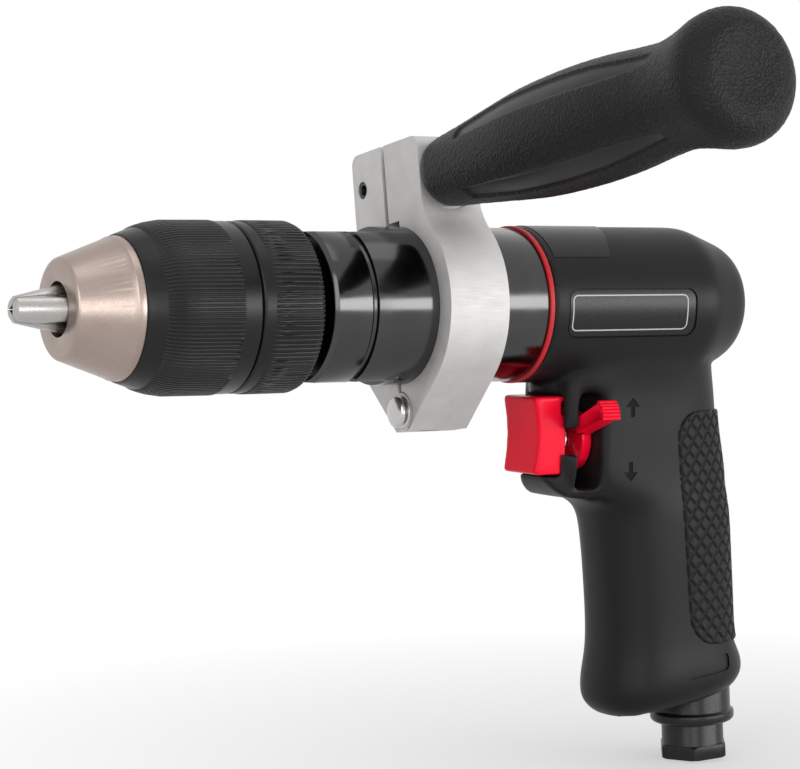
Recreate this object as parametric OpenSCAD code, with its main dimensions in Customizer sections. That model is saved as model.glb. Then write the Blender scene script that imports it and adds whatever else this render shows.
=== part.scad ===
// Air drill with a keyless chuck, a two-stage planetary drive, a vane motor, a pistol grip
// and a clamp-on side handle. +X points out of the chuck, +Y is the left side, +Z is up.
// The origin is on the spindle axis, at the front face of the chuck nose.

/* [Chuck] */
// Diameter of the gripping sleeves
chuck_d = 43; // [41:0.5:46]
// Length of the bare nose cone
nose_len = 15.4; // [14:0.2:17]
// Diameter of the nose cone at its front face
nose_front_d = 25.4; // [24:0.2:27]
// Step from the sleeves down to the nose cone
nose_step = 3.7; // [3:0.1:4]
// Length of the front sleeve
front_sleeve_len = 29.3; // [28:0.1:32]
// Length of the taper and the round shoulder on the front sleeve
sleeve_taper_len = 13.5; // [12:0.5:15]
// Radius of that shoulder
shoulder_r = 24; // [20:1:28]
// Length of the rear sleeve
rear_sleeve_len = 17.3; // [16:0.1:20]
// Gap between the two sleeves
sleeve_gap = 0.3; // [0.2:0.05:0.6]
// Step from the nose cone down to the land that the front sleeve turns on
land_step = 0.8; // [0.6:0.1:1]
// Length of that front land
front_land_len = 6; // [5:0.2:7]
// Wall of the sleeves round the chuck body
sleeve_wall = 3; // [2.5:0.1:3.2]
// Diameter of the bore that takes the tool shank
chuck_bore_d = 13.6; // [13.2:0.1:14]
// Depth of the shank bore
chuck_bore_depth = 37; // [35:0.5:39]
// Diameter of the spindle thread in the chuck
chuck_thread_d = 12.7; // [12:0.1:13]

/* [Chuck jaws and nut] */
// Diameter of a jaw
jaw_d = 7; // [6.6:0.1:7.2]
// Wall of the chuck body behind a fully open jaw
jaw_cover = 0.8; // [0.6:0.1:1.2]
// Angle between a jaw and the spindle
jaw_angle = 14; // [13:0.5:14.5]
// How far the closed jaws stand out of the nose
jaw_reach = 11.7; // [11:0.1:13]
// Diameter over the tips of the closed jaws
jaw_tip_d = 6.2; // [5.8:0.1:6.6]
// Smallest shank
shank_min_d = 1.5; // [1:0.1:2]
// Largest shank
shank_max_d = 13; // [12:0.5:13]
// Cover of the front sleeve round the nut
nut_cover = 4.1; // [3.8:0.1:4.2]
// Width of the split nut
nut_w = 8; // [7:0.2:8.4]
// Thickness of the thrust washer
thrust_washer_w = 1.2; // [1:0.1:1.4]
// Diameter of a thrust ball
thrust_ball_d = 2.4; // [2:0.1:2.6]
// Number of thrust balls
thrust_balls_n = 12; // [8:1:16]
// Thread diameter of the chuck screw
chuck_screw_d = 6; // [5:0.5:6]

/* [Barrel] */
// Gap between the chuck and the front cap
chuck_gap = 3; // [2:0.2:5]
// Diameter of the steel barrel
barrel_d = 40.8; // [38:0.2:43]
// Depth of the wrench flats
flats_depth = 1.4; // [1:0.1:1.6]
// How far the wrench flats reach along the barrel
flats_len = 21.5; // [15:0.5:25]
// Length of the front cap that shows
cap_len = 11.45; // [10:0.05:13]
// Length of the gear case that shows
case_len = 52.15; // [51:0.05:56]
// Wall of the gear case
case_wall = 2.4; // [2.1:0.1:2.6]
// Width of the groove between cap and gear case
groove_w = 1.9; // [1:0.1:3]
// Depth of that groove
groove_depth = 1.1; // [0.6:0.1:1.4]
// Width of the red seal ring
seal_w = 1.4; // [1:0.1:2]
// Step from the barrel down to the spigot that enters the housing
spigot_step = 1.5; // [1.3:0.1:1.7]
// Length of that spigot
spigot_len = 7; // [5:0.5:9]

/* [Spindle and gears] */
// Radial thickness of a spindle bearing
spindle_bearing_t = 6.5; // [6:0.1:7]
// Wall of the front cap round the spindle bearings
cap_wall = 4; // [3.5:0.1:5]
// Width of a spindle bearing
spindle_bearing_w = 7; // [6:0.5:7]
// Distance between the two spindle bearings
bearing_spacing = 3.3; // [2.8:0.1:4]
// Thickness of the cap in front of the first bearing
cap_lip = 1.9; // [1.5:0.1:2.5]
// Wall of the ring gear under its teeth
ring_wall = 2.85; // [2.4:0.05:3.8]
// Width of a planet gear
planet_w = 8; // [7:0.2:8.2]
// Diameter of a planet pin
planet_pin_d = 4; // [3.6:0.1:4.4]
// Thickness of a planet carrier
carrier_w = 3.2; // [2.8:0.1:3.6]

/* [Motor] */
// Step from the bore of the gear case down to the motor
motor_step = 0.5; // [0.5:0.1:0.8]
// Length of the motor cylinder
cylinder_len = 48.5; // [46:0.5:50]
// Least wall of the motor cylinder
cylinder_wall = 3.1; // [2.8:0.1:3.2]
// Offset of that bore from the rotor axis
cylinder_offset = 1.2; // [1:0.1:1.2]
// Least gap between the rotor and the cylinder
rotor_gap = 0.2; // [0.1:0.05:0.4]
// Number of vanes
vanes_n = 5; // [4:1:6]
// Thickness of a vane
vane_t = 1.6; // [1.4:0.1:2]
// Diameter of the rotor core under the vanes
rotor_core_d = 10.6; // [9.6:0.2:12]
// Thickness of an end plate
end_plate_w = 8.5; // [8:0.1:9.5]
// Wall of an end plate round its bearing
end_plate_wall = 6.5; // [6:0.1:7.5]
// Width of a rotor bearing
rotor_bearing_w = 6; // [5:0.1:6.4]
// Radial thickness of a rotor bearing
rotor_bearing_t = 6; // [5.5:0.1:6.2]

/* [Housing] */
// How far the housing stands out round the barrel
house_lip = 0.5; // [0.2:0.1:1]
// Length of the straight motor housing
house_straight_len = 52.7; // [51:0.1:56]
// Length of the tapered rear of the housing
house_tail_len = 19; // [17:0.2:22]
// Length of the plate recess on the left side
plate_len = 41.8; // [30:0.2:44]
// Height of the plate recess
plate_h = 13; // [10:0.2:15]
// Place of the plate recess behind the front of the housing
plate_set_back = 4.5; // [3:0.1:6]
// Height of the middle of the plate over the spindle axis
plate_z = -2.1; // [-3:0.1:0]
// Depth of the plate recess
plate_depth = 0.5; // [0.3:0.05:0.6]
// Place of the top of the rubber pad behind the front of the housing
pad_set_back = 44.6; // [43:0.2:50]
// Rearward lean of the front edge of the pad
pad_lean = 4.2; // [3:0.2:7]
// Depth of the top of the pad under the spindle axis
pad_top = 29.2; // [26:0.2:32]
// Depth of the bottom of the pad under the spindle axis
pad_bottom = 93.4; // [80:0.2:96]
// Thickness of the rubber pad on the grip
pad_t = 0.8; // [0.5:0.1:1.2]
// Tilt of the bottom of the grip
bottom_tilt = 9; // [6:0.5:11]

/* [Trigger and reverse lever] */
// Depth of the valve axis under the spindle axis
valve_drop = 36.4; // [35.6:0.2:37]
// Height of the middle of the trigger over the valve axis
trigger_rise = 1.6; // [1:0.2:2.2]
// Width of the trigger
trigger_w = 16; // [14:0.5:16.5]
// Height of the trigger
trigger_h = 20.8; // [19:0.2:22]
// Depth of the trigger from front to back
trigger_depth = 10.2; // [9.8:0.1:10.8]
// How far the trigger stands out of the grip
trigger_out = 4.8; // [4.4:0.1:5.4]
// Travel of the trigger
trigger_travel = 4.5; // [3:0.1:4.5]
// Hollow depth of the finger face
finger_hollow = 1.6; // [0.8:0.1:1.8]
// Wall of the trigger
trigger_wall = 1.8; // [1.4:0.1:2.2]
// Round of the trigger from its finger face to its sides
trigger_side_r = 1.8; // [1:0.2:3]
// Round of the trigger at the top and the bottom of its finger face
trigger_edge_r = 1.6; // [1:0.2:2.4]
// Diameter of the valve stem
stem_d = 3.6; // [3:0.1:4]
// Outer diameter of the trigger spring
spring_d = 8.8; // [8:0.1:9.6]
// Wire of the trigger spring
spring_wire = 0.8; // [0.6:0.05:0.9]
// Turns of the trigger spring
spring_turns = 4.5; // [3.5:0.5:5]
// Diameter of the reverse valve sleeve
reverse_d = 13; // [12:0.2:14]
// Length of the reverse valve sleeve
reverse_len = 15; // [12:0.5:16]
// Diameter of the lever hub
lever_hub_d = 17; // [16:0.2:18]
// Thickness of the lever hub
lever_hub_w = 2.8; // [2.4:0.1:3]
// Width of the lever arm along the drill
lever_w = 5.4; // [4.6:0.1:5.8]
// Distance from the lever axis to the end of the knob
lever_reach = 23.5; // [22:0.1:25]
// Angle of the lever above the level, at forward
lever_angle = 23; // [18:0.5:24]
// Width of the slot that the lever moves in
slot_w = 6.4; // [6:0.1:7]
// Height of that slot
slot_h = 25.6; // [24:0.2:27]

/* [Air inlet] */
// Place of the inlet axis behind the housing front, at the valve axis
inlet_set_back = 57; // [56:0.2:58]
// Rearward lean of the inlet axis
inlet_lean = 3; // [2:0.5:4]
// Depth of the inlet rim under the spindle axis
inlet_drop = 116.8; // [115.6:0.2:118]
// Diameter of the exhaust collar
collar_d = 21.6; // [20:0.2:22]
// Length of the exhaust collar
collar_len = 22.8; // [20:0.2:24]
// Length of the silencer above the collar
silencer_len = 10; // [8:0.5:12]
// Diameter of the collar rim
collar_rim_d = 23.4; // [22.4:0.2:24]
// Diameter of the inlet neck
neck_d = 17.2; // [16:0.2:17.4]
// Length of the neck under the rim
neck_len = 6.2; // [4:0.2:7]
// Distance across the flats of the inlet hex
hex_af = 17.6; // [17.4:0.2:19]
// Length of the hex
hex_len = 3.8; // [3.4:0.2:6]
// Turn of the hex about its own axis
hex_turn = 5; // [0:1:59]
// Diameter of the inlet thread hole
inlet_thread_d = 11.45; // [11:0.05:11.9]
// Depth of the inlet thread hole
inlet_thread_len = 12; // [10:0.5:14]

/* [Clamp] */
// Place of the front of the clamp behind the front cap
clamp_set_back = 30; // [25:0.5:42]
// Width of the clamp along the drill
clamp_w = 17.5; // [16:0.5:18]
// Wall of the clamp ring
clamp_wall = 5.4; // [4.6:0.1:6.4]
// Roll of the clamp that lifts the handle
clamp_roll = 8.3; // [0:0.1:15]
// Sideways place of the split
split_y = -2.4; // [-3:0.2:-1.6]
// Gap between the clamp halves
split_gap = 1.6; // [1.2:0.1:2]
// Sideways reach of the near lug
near_lug_y = 15.2; // [14.5:0.1:16]
// Sideways reach of the far lug
far_lug_y = 18.4; // [18:0.1:20]
// Fillet between the near lug and the ring
clamp_fillet_r = 15; // [8:0.5:16]
// How far the lugs reach over the handle axis
lug_cover = 9.7; // [9.4:0.1:12]
// Height of the handle axis over the barrel
handle_rise = 12.1; // [11.4:0.1:13]
// How far the hinge axis lies outside the clamp ring
hinge_out = 1.7; // [1.2:0.1:2.6]
// Diameter of the hinge pin
hinge_pin_d = 5; // [4.6:0.1:5.4]
// Outer diameter of a hinge knuckle
knuckle_d = 10; // [9.4:0.1:10.2]
// Diameter of the domed pin head
pin_head_d = 8.6; // [7.6:0.1:9]
// Height of the domed pin head
pin_head_h = 1.5; // [1:0.1:2]
// Diameter of the roll pin
roll_pin_d = 4.6; // [4:0.1:5]
// Distance of the roll pin from the edge of the far lug
roll_pin_edge = 4.6; // [4:0.2:6]

/* [Side handle] */
// Length of the side handle
handle_len = 122.5; // [118:0.5:128]
// Diameter of the handle at the clamp
handle_root_d = 18.5; // [18:0.1:20]
// Diameter of the swell in the middle
handle_swell_d = 28.8; // [25:0.2:29.6]
// Diameter of the neck behind the knob
handle_neck_d = 25.2; // [24:0.2:27]
// Diameter of the end knob
handle_knob_d = 31.3; // [30:0.1:33]
// Depth of the smooth hollows in the handle
hollow_depth = 0.7; // [0.4:0.1:1]
// Number of hollows round the handle
hollows_n = 4; // [3:1:5]
// Turn of the first hollow from the top
hollow_turn = 35; // [0:1:45]
// Diameter of the stud
stud_d = 10; // [9:0.2:10]
// Length of stud inside the handle
stud_in = 24; // [20:0.5:27]
// Thickness of the washer under the handle
handle_washer_w = 1; // [0.8:0.1:1.4]
// Travel of the handle along the stud when it is loosened
handle_travel = 3; // [2:0.1:3]

/* [Fits] */
// Radial gap of a turning or sliding fit
run_gap = 0.05; // [0.03:0.01:0.08]
// Gap of a fit that stays put
seat_gap = 0.02; // [0.01:0.01:0.04]
// Open gap between moving pieces that don't guide each other
free_gap = 0.4; // [0.3:0.05:0.5]
// Backlash of the gears
backlash = 0.1; // [0.08:0.01:0.14]

/* [Hidden] */
$fn = 96;

steel = [0.62, 0.62, 0.64];
dark_steel = [0.16, 0.16, 0.18];
black = [0.07, 0.07, 0.075];
nickel = [0.66, 0.60, 0.55];
aluminium = [0.80, 0.79, 0.77];
brass = [0.72, 0.58, 0.30];
bronze = [0.55, 0.40, 0.24];
red = [0.82, 0.05, 0.12];
rubber = [0.10, 0.10, 0.105];

// How far a cut reaches past the face that it opens
past = 1;
// How deep two joined shapes of one piece run into each other
join = 0.1;

// Places along the spindle axis, from the nose to the rear
x_rim = -nose_len;
x_split = x_rim - front_sleeve_len;
x_rear_sleeve = x_split - sleeve_gap;
x_chuck_end = x_rear_sleeve - rear_sleeve_len;
x_cap = x_chuck_end - chuck_gap;
x_case = x_cap - cap_len;
x_seal = x_case - case_len;
x_house = x_seal - seal_w;
x_tail = x_house - house_straight_len;
x_end = x_tail - house_tail_len;

// Diameters that follow from the chuck sleeves
nose_rear_d = chuck_d - 2 * nose_step;
front_land_d = nose_rear_d - 2 * land_step;
chuck_core_d = chuck_d - 2 * sleeve_wall;
nut_d = chuck_d - 2 * nut_cover;

// Diameters that follow from the barrel
case_bore_d = barrel_d - 2 * case_wall;
spigot_d = barrel_d - 2 * spigot_step;
spindle_bearing_d = case_bore_d - 2 * cap_wall;
spindle_d = spindle_bearing_d - 2 * spindle_bearing_t;
motor_d = case_bore_d - 2 * motor_step;
house_d = barrel_d + 2 * house_lip;
clamp_d = barrel_d + 2 * clamp_wall;

// Jaws: their axes cross the spindle axis at x_cross
jaw_travel = (shank_max_d - shank_min_d) / 2 / sin(jaw_angle);
jaw_edge = jaw_d / 2 / cos(jaw_angle);
x_cross = jaw_reach + (jaw_tip_d / 2 - jaw_edge) / tan(jaw_angle);
jaw_tip_t = (x_cross - jaw_reach) / cos(jaw_angle);
jaw_bore_spare = 1.5;
jaw_open_t = (chuck_core_d / 2 - jaw_cover - jaw_d / 2 * cos(jaw_angle)) / sin(jaw_angle);
jaw_rear_t = jaw_open_t - jaw_travel - jaw_bore_spare;
jaw_len = jaw_rear_t - jaw_tip_t;
jaws_n = 3;
function jaw_outer_r(x) = (x_cross - x) * tan(jaw_angle) + jaw_edge;

// Nut groove in the chuck body
thrust_play = 0.2;
x_groove = x_rim - front_land_len;
x_nut = x_groove - thrust_play / 4;
x_washer = x_nut - nut_w;
x_balls = x_washer - thrust_washer_w - thrust_play / 4;
x_groove_end = x_balls - thrust_ball_d - thrust_play / 4;
groove_floor_d = 20.8;
ball_ring_d = nut_d - thrust_ball_d - 1.2;
nut_slit = 0.4;

// Chuck on the spindle
chuck_web = 5;
x_web = -chuck_bore_depth;
x_thread = x_web - chuck_web;
chuck_rear_inset = 0.5;
x_body_end = x_chuck_end + chuck_rear_inset;
screw_head_h = 3.5;
screw_head_d = 10;
screw_in_spindle = 14;

// Spindle bearings, carriers and gears
spindle_shoulder_d = spindle_d + 2;
x_bearing_front = x_cap - cap_lip;
x_bearing_front_end = x_bearing_front - spindle_bearing_w;
x_bearing_rear = x_bearing_front_end - bearing_spacing;
x_cap_end = x_bearing_rear - spindle_bearing_w;
x_carrier_out = x_cap_end - free_gap;
x_planet_out = x_carrier_out - carrier_w - free_gap;
x_planet_out_end = x_planet_out - planet_w;
x_carrier_first = x_planet_out_end - 2 * free_gap;
x_planet_first = x_carrier_first - carrier_w - free_gap;
x_planet_first_end = x_planet_first - planet_w;
x_ring_end = x_planet_first_end - 2 * free_gap;
sun_teeth = 12;
planet_teeth = 18;
ring_teeth = sun_teeth + 2 * planet_teeth;
root_factor = 1.25;
gear_module = (case_bore_d / 2 - ring_wall) / (ring_teeth / 2 + root_factor);
gear_centres = gear_module * (sun_teeth + planet_teeth) / 2;
carrier_d = gear_module * (ring_teeth - 4);
pressure_angle = 25;
tip_factor = 1.0;
ring_tip_factor = 0.9;
flank_steps = 3;
planets_n = 3;

// Motor
cylinder_bore_d = motor_d - 2 * (cylinder_wall + cylinder_offset);
rotor_d = cylinder_bore_d - 2 * (cylinder_offset + rotor_gap);
vane_h = (rotor_d - rotor_core_d) / 2;
rotor_bearing_d = motor_d - 2 * end_plate_wall;
rotor_shaft_d = rotor_bearing_d - 2 * rotor_bearing_t;
x_front_plate = x_ring_end;
x_cylinder = x_front_plate - end_plate_w;
x_cylinder_end = x_cylinder - cylinder_len;
x_rear_plate_end = x_cylinder_end - end_plate_w;
x_motor_bore_end = x_rear_plate_end - free_gap;
rotor_end_gap = 0.15;
plate_web = 1.8;
vane_slack = 0.1;

// Trigger and valve on one axis along X
z_valve = -valve_drop;
z_trigger = z_valve + trigger_rise;
guard_depth = 7;
x_guard = x_house - guard_depth;
x_trigger = x_guard + trigger_out;
x_trigger_back = x_trigger - trigger_depth;
x_hub = x_trigger_back - trigger_travel - free_gap;
x_hub_end = x_hub - lever_hub_w;
x_slot = x_hub_end + slot_w - free_gap;
x_reverse_end = x_hub_end - reverse_len;
valve_seat_w = 3;
x_seat = x_reverse_end - free_gap;
x_seat_end = x_seat - valve_seat_w;
poppet_room = 1.7;
poppet_d = reverse_d - 2 * poppet_room;
poppet_w = 2.4;
poppet_seal_w = 0.9;
poppet_play = 0.1;
x_poppet = x_seat_end - poppet_seal_w - poppet_play - seat_gap;
seat_room = 1.3;
seat_hole_d = stem_d + 2 * seat_room;
x_inlet = x_house - inlet_set_back;
spring_seat = 1.6;
spring_play = 0.1;
x_spring = x_trigger - finger_hollow - trigger_wall - spring_play;
x_spring_end = x_hub + spring_play;
stem_cover = 0.7;
x_stem = x_trigger - finger_hollow - stem_cover;

// Air inlet, measured down its own axis from the valve axis
rim_depth = (inlet_drop - valve_drop) / cos(inlet_lean);
rim_w = 3.2;
collar_top = rim_depth - collar_len;
bush_top = collar_top - silencer_len;
inlet_bore_d = 11;
bush_d = neck_d - 2;
screen_w = 1.2;
screen_d = inlet_bore_d - 2;
hex_top = rim_depth + neck_len;
hex_bottom = hex_top + hex_len;
thread_top = hex_bottom - inlet_thread_len;

// Clamp and handle
x_clamp = x_cap - clamp_set_back;
x_clamp_end = x_clamp - clamp_w;
x_clamp_mid = x_clamp - clamp_w / 2;
x_knuckle = x_clamp - clamp_w / 3;
x_knuckle_end = x_clamp_end + clamp_w / 3;
handle_h = barrel_d / 2 + handle_rise;
lug_top = handle_h + lug_cover;
hinge_y = split_y;
hinge_drop = clamp_d / 2 + hinge_out;
hinge_flat = 6.4;
hinge_bottom = hinge_drop + knuckle_d / 2;
y_handle = near_lug_y + handle_washer_w;
stud_hole_gap = 0.75;
insert_d = stud_d + 3.4;
roll_pin_y = roll_pin_edge - far_lug_y;
flange_from = 8;
flange_w = 4;
flange_d = insert_d + 2;

module along_x(x) {
    translate([x, 0, 0]) rotate([90, 0, 90]) children();
}

// A round bar along X between two places
module bar(x_a, x_b, d) {
    along_x(min(x_a, x_b)) cylinder(d = d, h = abs(x_a - x_b));
}

// A turned piece: its profile is a list of [x, radius]
module turned(profile) {
    rotate([90, 0, 90]) rotate_extrude() polygon([for (p = profile) [p[1], p[0]]]);
}

function arc(centre, r, a_from, a_to, steps = 6) =
    [for (i = [0:steps]) let (a = a_from + (a_to - a_from) * i / steps) centre + r * [cos(a), sin(a)]];

// Smooth curve through rows of numbers, read at place u from 0 to the last row
function blend(p, q, r, s, t) = 0.5 * (2 * q + (r - p) * t + (2 * p - 5 * q + 4 * r - s) * t * t
    + (3 * q - p - 3 * r + s) * t * t * t);
function row_at(rows, u) = let (last = len(rows) - 1, i = min(floor(u), last - 1), t = u - i)
    blend(rows[max(i - 1, 0)], rows[i], rows[i + 1], rows[min(i + 2, last)], t);

// A closed tube or loft: rings of points, each ring as long as the next
module loft(rings) {
    n = len(rings[0]);
    last = len(rings) - 1;
    points = [for (ring = rings) each ring];
    walls = [for (i = [0:last - 1], j = [0:n - 1]) let (k = (j + 1) % n)
        each [[i * n + j, i * n + k, (i + 1) * n + k], [i * n + j, (i + 1) * n + k, (i + 1) * n + j]]];
    polyhedron(points, concat(walls, [[for (j = [n - 1:-1:0]) j], [for (j = [0:n - 1]) last * n + j]]));
}

// Chuck

module chuck_body() {
    edge_r = 1.2;
    lip_w = 2;
    lip_h = 0.25;
    land_r = front_land_d / 2;
    core_r = chuck_core_d / 2;
    floor_r = groove_floor_d / 2;
    front_r = nose_front_d / 2;
    rear_r = nose_rear_d / 2;
    outline = concat([[x_body_end, 0], [0, 0]],
        arc([-edge_r, front_r - edge_r], edge_r, 0, 75, 4),
        [[x_rim + lip_w, rear_r - 2 * lip_h], [x_rim + lip_w - lip_h, rear_r - lip_h], [x_rim, rear_r],
        [x_rim, land_r],
        [x_groove, land_r], [x_groove, floor_r], [x_groove_end, floor_r], [x_groove_end, core_r],
        [x_body_end, core_r]]);
    color(nickel) difference() {
        turned(outline);
        bar(past, x_web, chuck_bore_d);
        bar(0, x_thread - past, chuck_screw_d + 2 * run_gap);
        bar(x_thread, x_body_end - past, chuck_thread_d + 2 * seat_gap);
        for (k = [0:jaws_n - 1]) rotate([360 / jaws_n * k, 0, 0]) jaw_bore();
    }
}

// The slanted bore that guides one jaw over its whole travel
module jaw_bore() {
    front = 20;
    jaw_line(-front, jaw_open_t, jaw_d + 2 * run_gap);
}

// A round bar on a jaw's axis, between two distances from the crossing point
module jaw_line(t_from, t_to, d) {
    translate([x_cross, 0, 0]) rotate([0, 0, 180 - jaw_angle]) rotate([0, 90, 0])
        translate([0, 0, t_from]) cylinder(d = d, h = t_to - t_from);
}

module rear_sleeve() {
    r = chuck_d / 2;
    inner_r = chuck_core_d / 2 + seat_gap;
    round_r = 2;
    edge = 0.5;
    color(black) turned(concat(
        [[x_rear_sleeve, inner_r], [x_rear_sleeve, r - edge], [x_rear_sleeve - edge, r]],
        arc([x_chuck_end + round_r, r - round_r], round_r, 90, 180),
        [[x_chuck_end, inner_r]]));
}

module chuck_screw() {
    tip_room = 1;
    socket_d = 5;
    socket_depth = 2;
    color(dark_steel) difference() {
        union() {
            bar(x_web + screw_head_h, x_web, screw_head_d);
            bar(x_web + join, x_thread - screw_in_spindle + tip_room, chuck_screw_d);
        }
        along_x(x_web + screw_head_h - socket_depth) cylinder(d = socket_d, h = socket_depth + past, $fn = 6);
    }
}

module thrust_balls() {
    color(steel) for (k = [0:thrust_balls_n - 1])
        rotate([360 / thrust_balls_n * (k + 0.5), 0, 0])
            translate([x_balls - thrust_ball_d / 2, ball_ring_d / 2, 0])
                sphere(d = thrust_ball_d - seat_gap);
}

module front_sleeve() {
    r = chuck_d / 2;
    lip_r = nose_rear_d / 2 + free_gap;
    land_r = front_land_d / 2 + run_gap;
    nut_r = nut_d / 2 + seat_gap;
    core_r = chuck_core_d / 2 + run_gap;
    edge = 0.5;
    x_front = x_rim - thrust_play / 2;
    x_step = x_groove_end + thrust_play / 2;
    shoulder_turn = 19;
    x_shoulder = x_rim - sleeve_taper_len;
    color(black) turned(concat([[x_front, land_r], [x_front, lip_r]],
        arc([x_shoulder, r - shoulder_r], shoulder_r, 90 - shoulder_turn, 90, 8),
        [[x_split + edge, r], [x_split, r - edge], [x_split, core_r], [x_step, core_r], [x_step, nut_r],
        [x_groove, nut_r], [x_groove, land_r]]));
}

module split_nut() {
    r = nut_d / 2;
    thread_gap = 0.15;
    color(steel) difference() {
        turned([[x_nut, jaw_outer_r(x_nut) + thread_gap], [x_nut, r], [x_washer, r],
            [x_washer, jaw_outer_r(x_washer) + thread_gap]]);
        translate([x_washer - past, -r - past, -nut_slit / 2])
            cube([nut_w + 2 * past, 2 * (r + past), nut_slit]);
    }
}

module thrust_washer() {
    gap = 0.2;
    inner_r = jaw_outer_r(x_washer - thrust_washer_w) + gap;
    color(steel) difference() {
        bar(x_washer, x_washer - thrust_washer_w, nut_d);
        bar(x_washer + past, x_washer - thrust_washer_w - past, 2 * inner_r);
    }
}

module jaw(k) {
    flank_gap = 0.2;
    r_grip = shank_min_d / 2;
    far_r = chuck_d / 2;
    tip_r = jaw_tip_d / 2;
    nose_r = 0.7;
    nose_step = 0.2;
    spare = 3;
    slope = tan(180 / jaws_n);
    color(steel) rotate([360 / jaws_n * k, 0, 0]) intersection() {
        jaw_line(jaw_tip_t - spare, jaw_rear_t, jaw_d);
        translate([jaw_reach - 2 * jaw_len, 0, 0]) rotate([90, 0, 90]) linear_extrude(2 * jaw_len)
            polygon([[r_grip, flank_gap - r_grip * slope], [far_r, flank_gap - far_r * slope],
                [far_r, far_r * slope - flank_gap], [r_grip, r_grip * slope - flank_gap]]);
        turned([[jaw_reach, 0], [jaw_reach, tip_r - nose_r], [jaw_reach - nose_r, tip_r + nose_step],
            [jaw_reach - nose_r, far_r], [-jaw_len, far_r], [-jaw_len, 0]]);
    }
}

module jaw_1() { jaw(0); }
module jaw_2() { jaw(1); }
module jaw_3() { jaw(2); }

// Gears

function turn_of(angle) = tan(angle) * 180 / PI - angle;
function half_tooth(teeth, r, thin) =
    let (pitch_r = teeth * gear_module / 2, base_r = pitch_r * cos(pressure_angle))
    90 / teeth - thin / pitch_r * 90 / PI + turn_of(pressure_angle) - turn_of(acos(min(1, base_r / r)));

// Involute outline with a tooth centred on +X; thin takes that much off each tooth
function gear_outline(teeth, r_in, r_out, thin) = let (n = flank_steps)
    [for (k = [0:teeth - 1], i = [0:2 * n + 1])
        let (j = i <= n ? i : 2 * n + 1 - i,
            r = r_in + (r_out - r_in) * j / n,
            h = half_tooth(teeth, r, thin),
            a = 360 * k / teeth + (i <= n ? -h : h))
        r * [cos(a), sin(a)]];

module gear(teeth, x_a, x_b, turn = 0) {
    pitch_r = teeth * gear_module / 2;
    root_r = pitch_r - root_factor * gear_module;
    tip_r = pitch_r + tip_factor * gear_module;
    along_x(min(x_a, x_b)) rotate(turn) linear_extrude(abs(x_a - x_b))
        polygon(gear_outline(teeth, root_r, tip_r, backlash / 2));
}

module at_planet(k) {
    rotate([360 / planets_n * k, 0, 0]) translate([0, gear_centres, 0]) children();
}

// A planet stands with a tooth gap towards the sun gear
module planet(k, x_a, x_b) {
    color(steel) at_planet(k) difference() {
        gear(planet_teeth, x_a, x_b, 180 / planet_teeth);
        bar(x_a + past, x_b - past, planet_pin_d + 2 * run_gap);
    }
}

module planet_pins(x_a, x_b) {
    color(dark_steel) for (k = [0:planets_n - 1]) at_planet(k) bar(x_a, x_b, planet_pin_d);
}

module carrier_plate(x_a, x_b) {
    difference() {
        bar(x_a, x_b, carrier_d);
        for (k = [0:planets_n - 1]) at_planet(k) bar(x_a + past, x_b - past, planet_pin_d + 2 * seat_gap);
    }
}

module spindle() {
    color(dark_steel) difference() {
        union() {
            bar(x_thread - seat_gap, x_body_end - join, chuck_thread_d);
            bar(x_body_end - seat_gap, x_bearing_front + seat_gap, spindle_shoulder_d);
            bar(x_bearing_front + join, x_carrier_out - join, spindle_d);
            carrier_plate(x_carrier_out, x_carrier_out - carrier_w);
        }
        bar(x_thread + past, x_thread - screw_in_spindle, chuck_screw_d + 2 * seat_gap);
    }
}

module output_planet_pins() { planet_pins(x_carrier_out, x_planet_out_end - free_gap / 2); }
module output_planet_1() { planet(0, x_planet_out, x_planet_out_end); }
module output_planet_2() { planet(1, x_planet_out, x_planet_out_end); }
module output_planet_3() { planet(2, x_planet_out, x_planet_out_end); }

module first_carrier() {
    color(dark_steel) union() {
        gear(sun_teeth, x_planet_out + free_gap / 2, x_carrier_first - join);
        carrier_plate(x_carrier_first, x_carrier_first - carrier_w);
    }
}

module first_planet_pins() { planet_pins(x_carrier_first, x_planet_first_end - free_gap / 2); }
module first_planet_1() { planet(0, x_planet_first, x_planet_first_end); }
module first_planet_2() { planet(1, x_planet_first, x_planet_first_end); }
module first_planet_3() { planet(2, x_planet_first, x_planet_first_end); }

module ring_gear() {
    pitch_r = ring_teeth * gear_module / 2;
    tooth = 180 / ring_teeth;
    color(steel) difference() {
        bar(x_cap_end - seat_gap, x_ring_end, case_bore_d - 2 * seat_gap);
        along_x(x_ring_end - past) rotate(tooth) linear_extrude(x_cap_end - x_ring_end + 2 * past)
            polygon(gear_outline(ring_teeth, pitch_r - ring_tip_factor * gear_module,
                pitch_r + root_factor * gear_module, -backlash / 2));
    }
}

// Barrel

// A sealed ball bearing with its two shields set in
module bearing(x_a, w, d_in, d_out) {
    ring_t = (d_out - d_in) / 9;
    sink = 0.4;
    r_in = d_in / 2 + run_gap;
    r_out = d_out / 2 - seat_gap;
    x_b = x_a - w;
    shield_in = r_in + ring_t;
    shield_out = r_out - ring_t;
    color(steel) turned([[x_a, r_in], [x_a, shield_in], [x_a - sink, shield_in], [x_a - sink, shield_out],
        [x_a, shield_out], [x_a, r_out], [x_b, r_out], [x_b, shield_out], [x_b + sink, shield_out],
        [x_b + sink, shield_in], [x_b, shield_in], [x_b, r_in]]);
}

module spindle_bearing_front() {
    bearing(x_bearing_front, spindle_bearing_w, spindle_d, spindle_bearing_d);
}

module spindle_bearing_rear() {
    bearing(x_bearing_rear, spindle_bearing_w, spindle_d, spindle_bearing_d);
}

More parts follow.
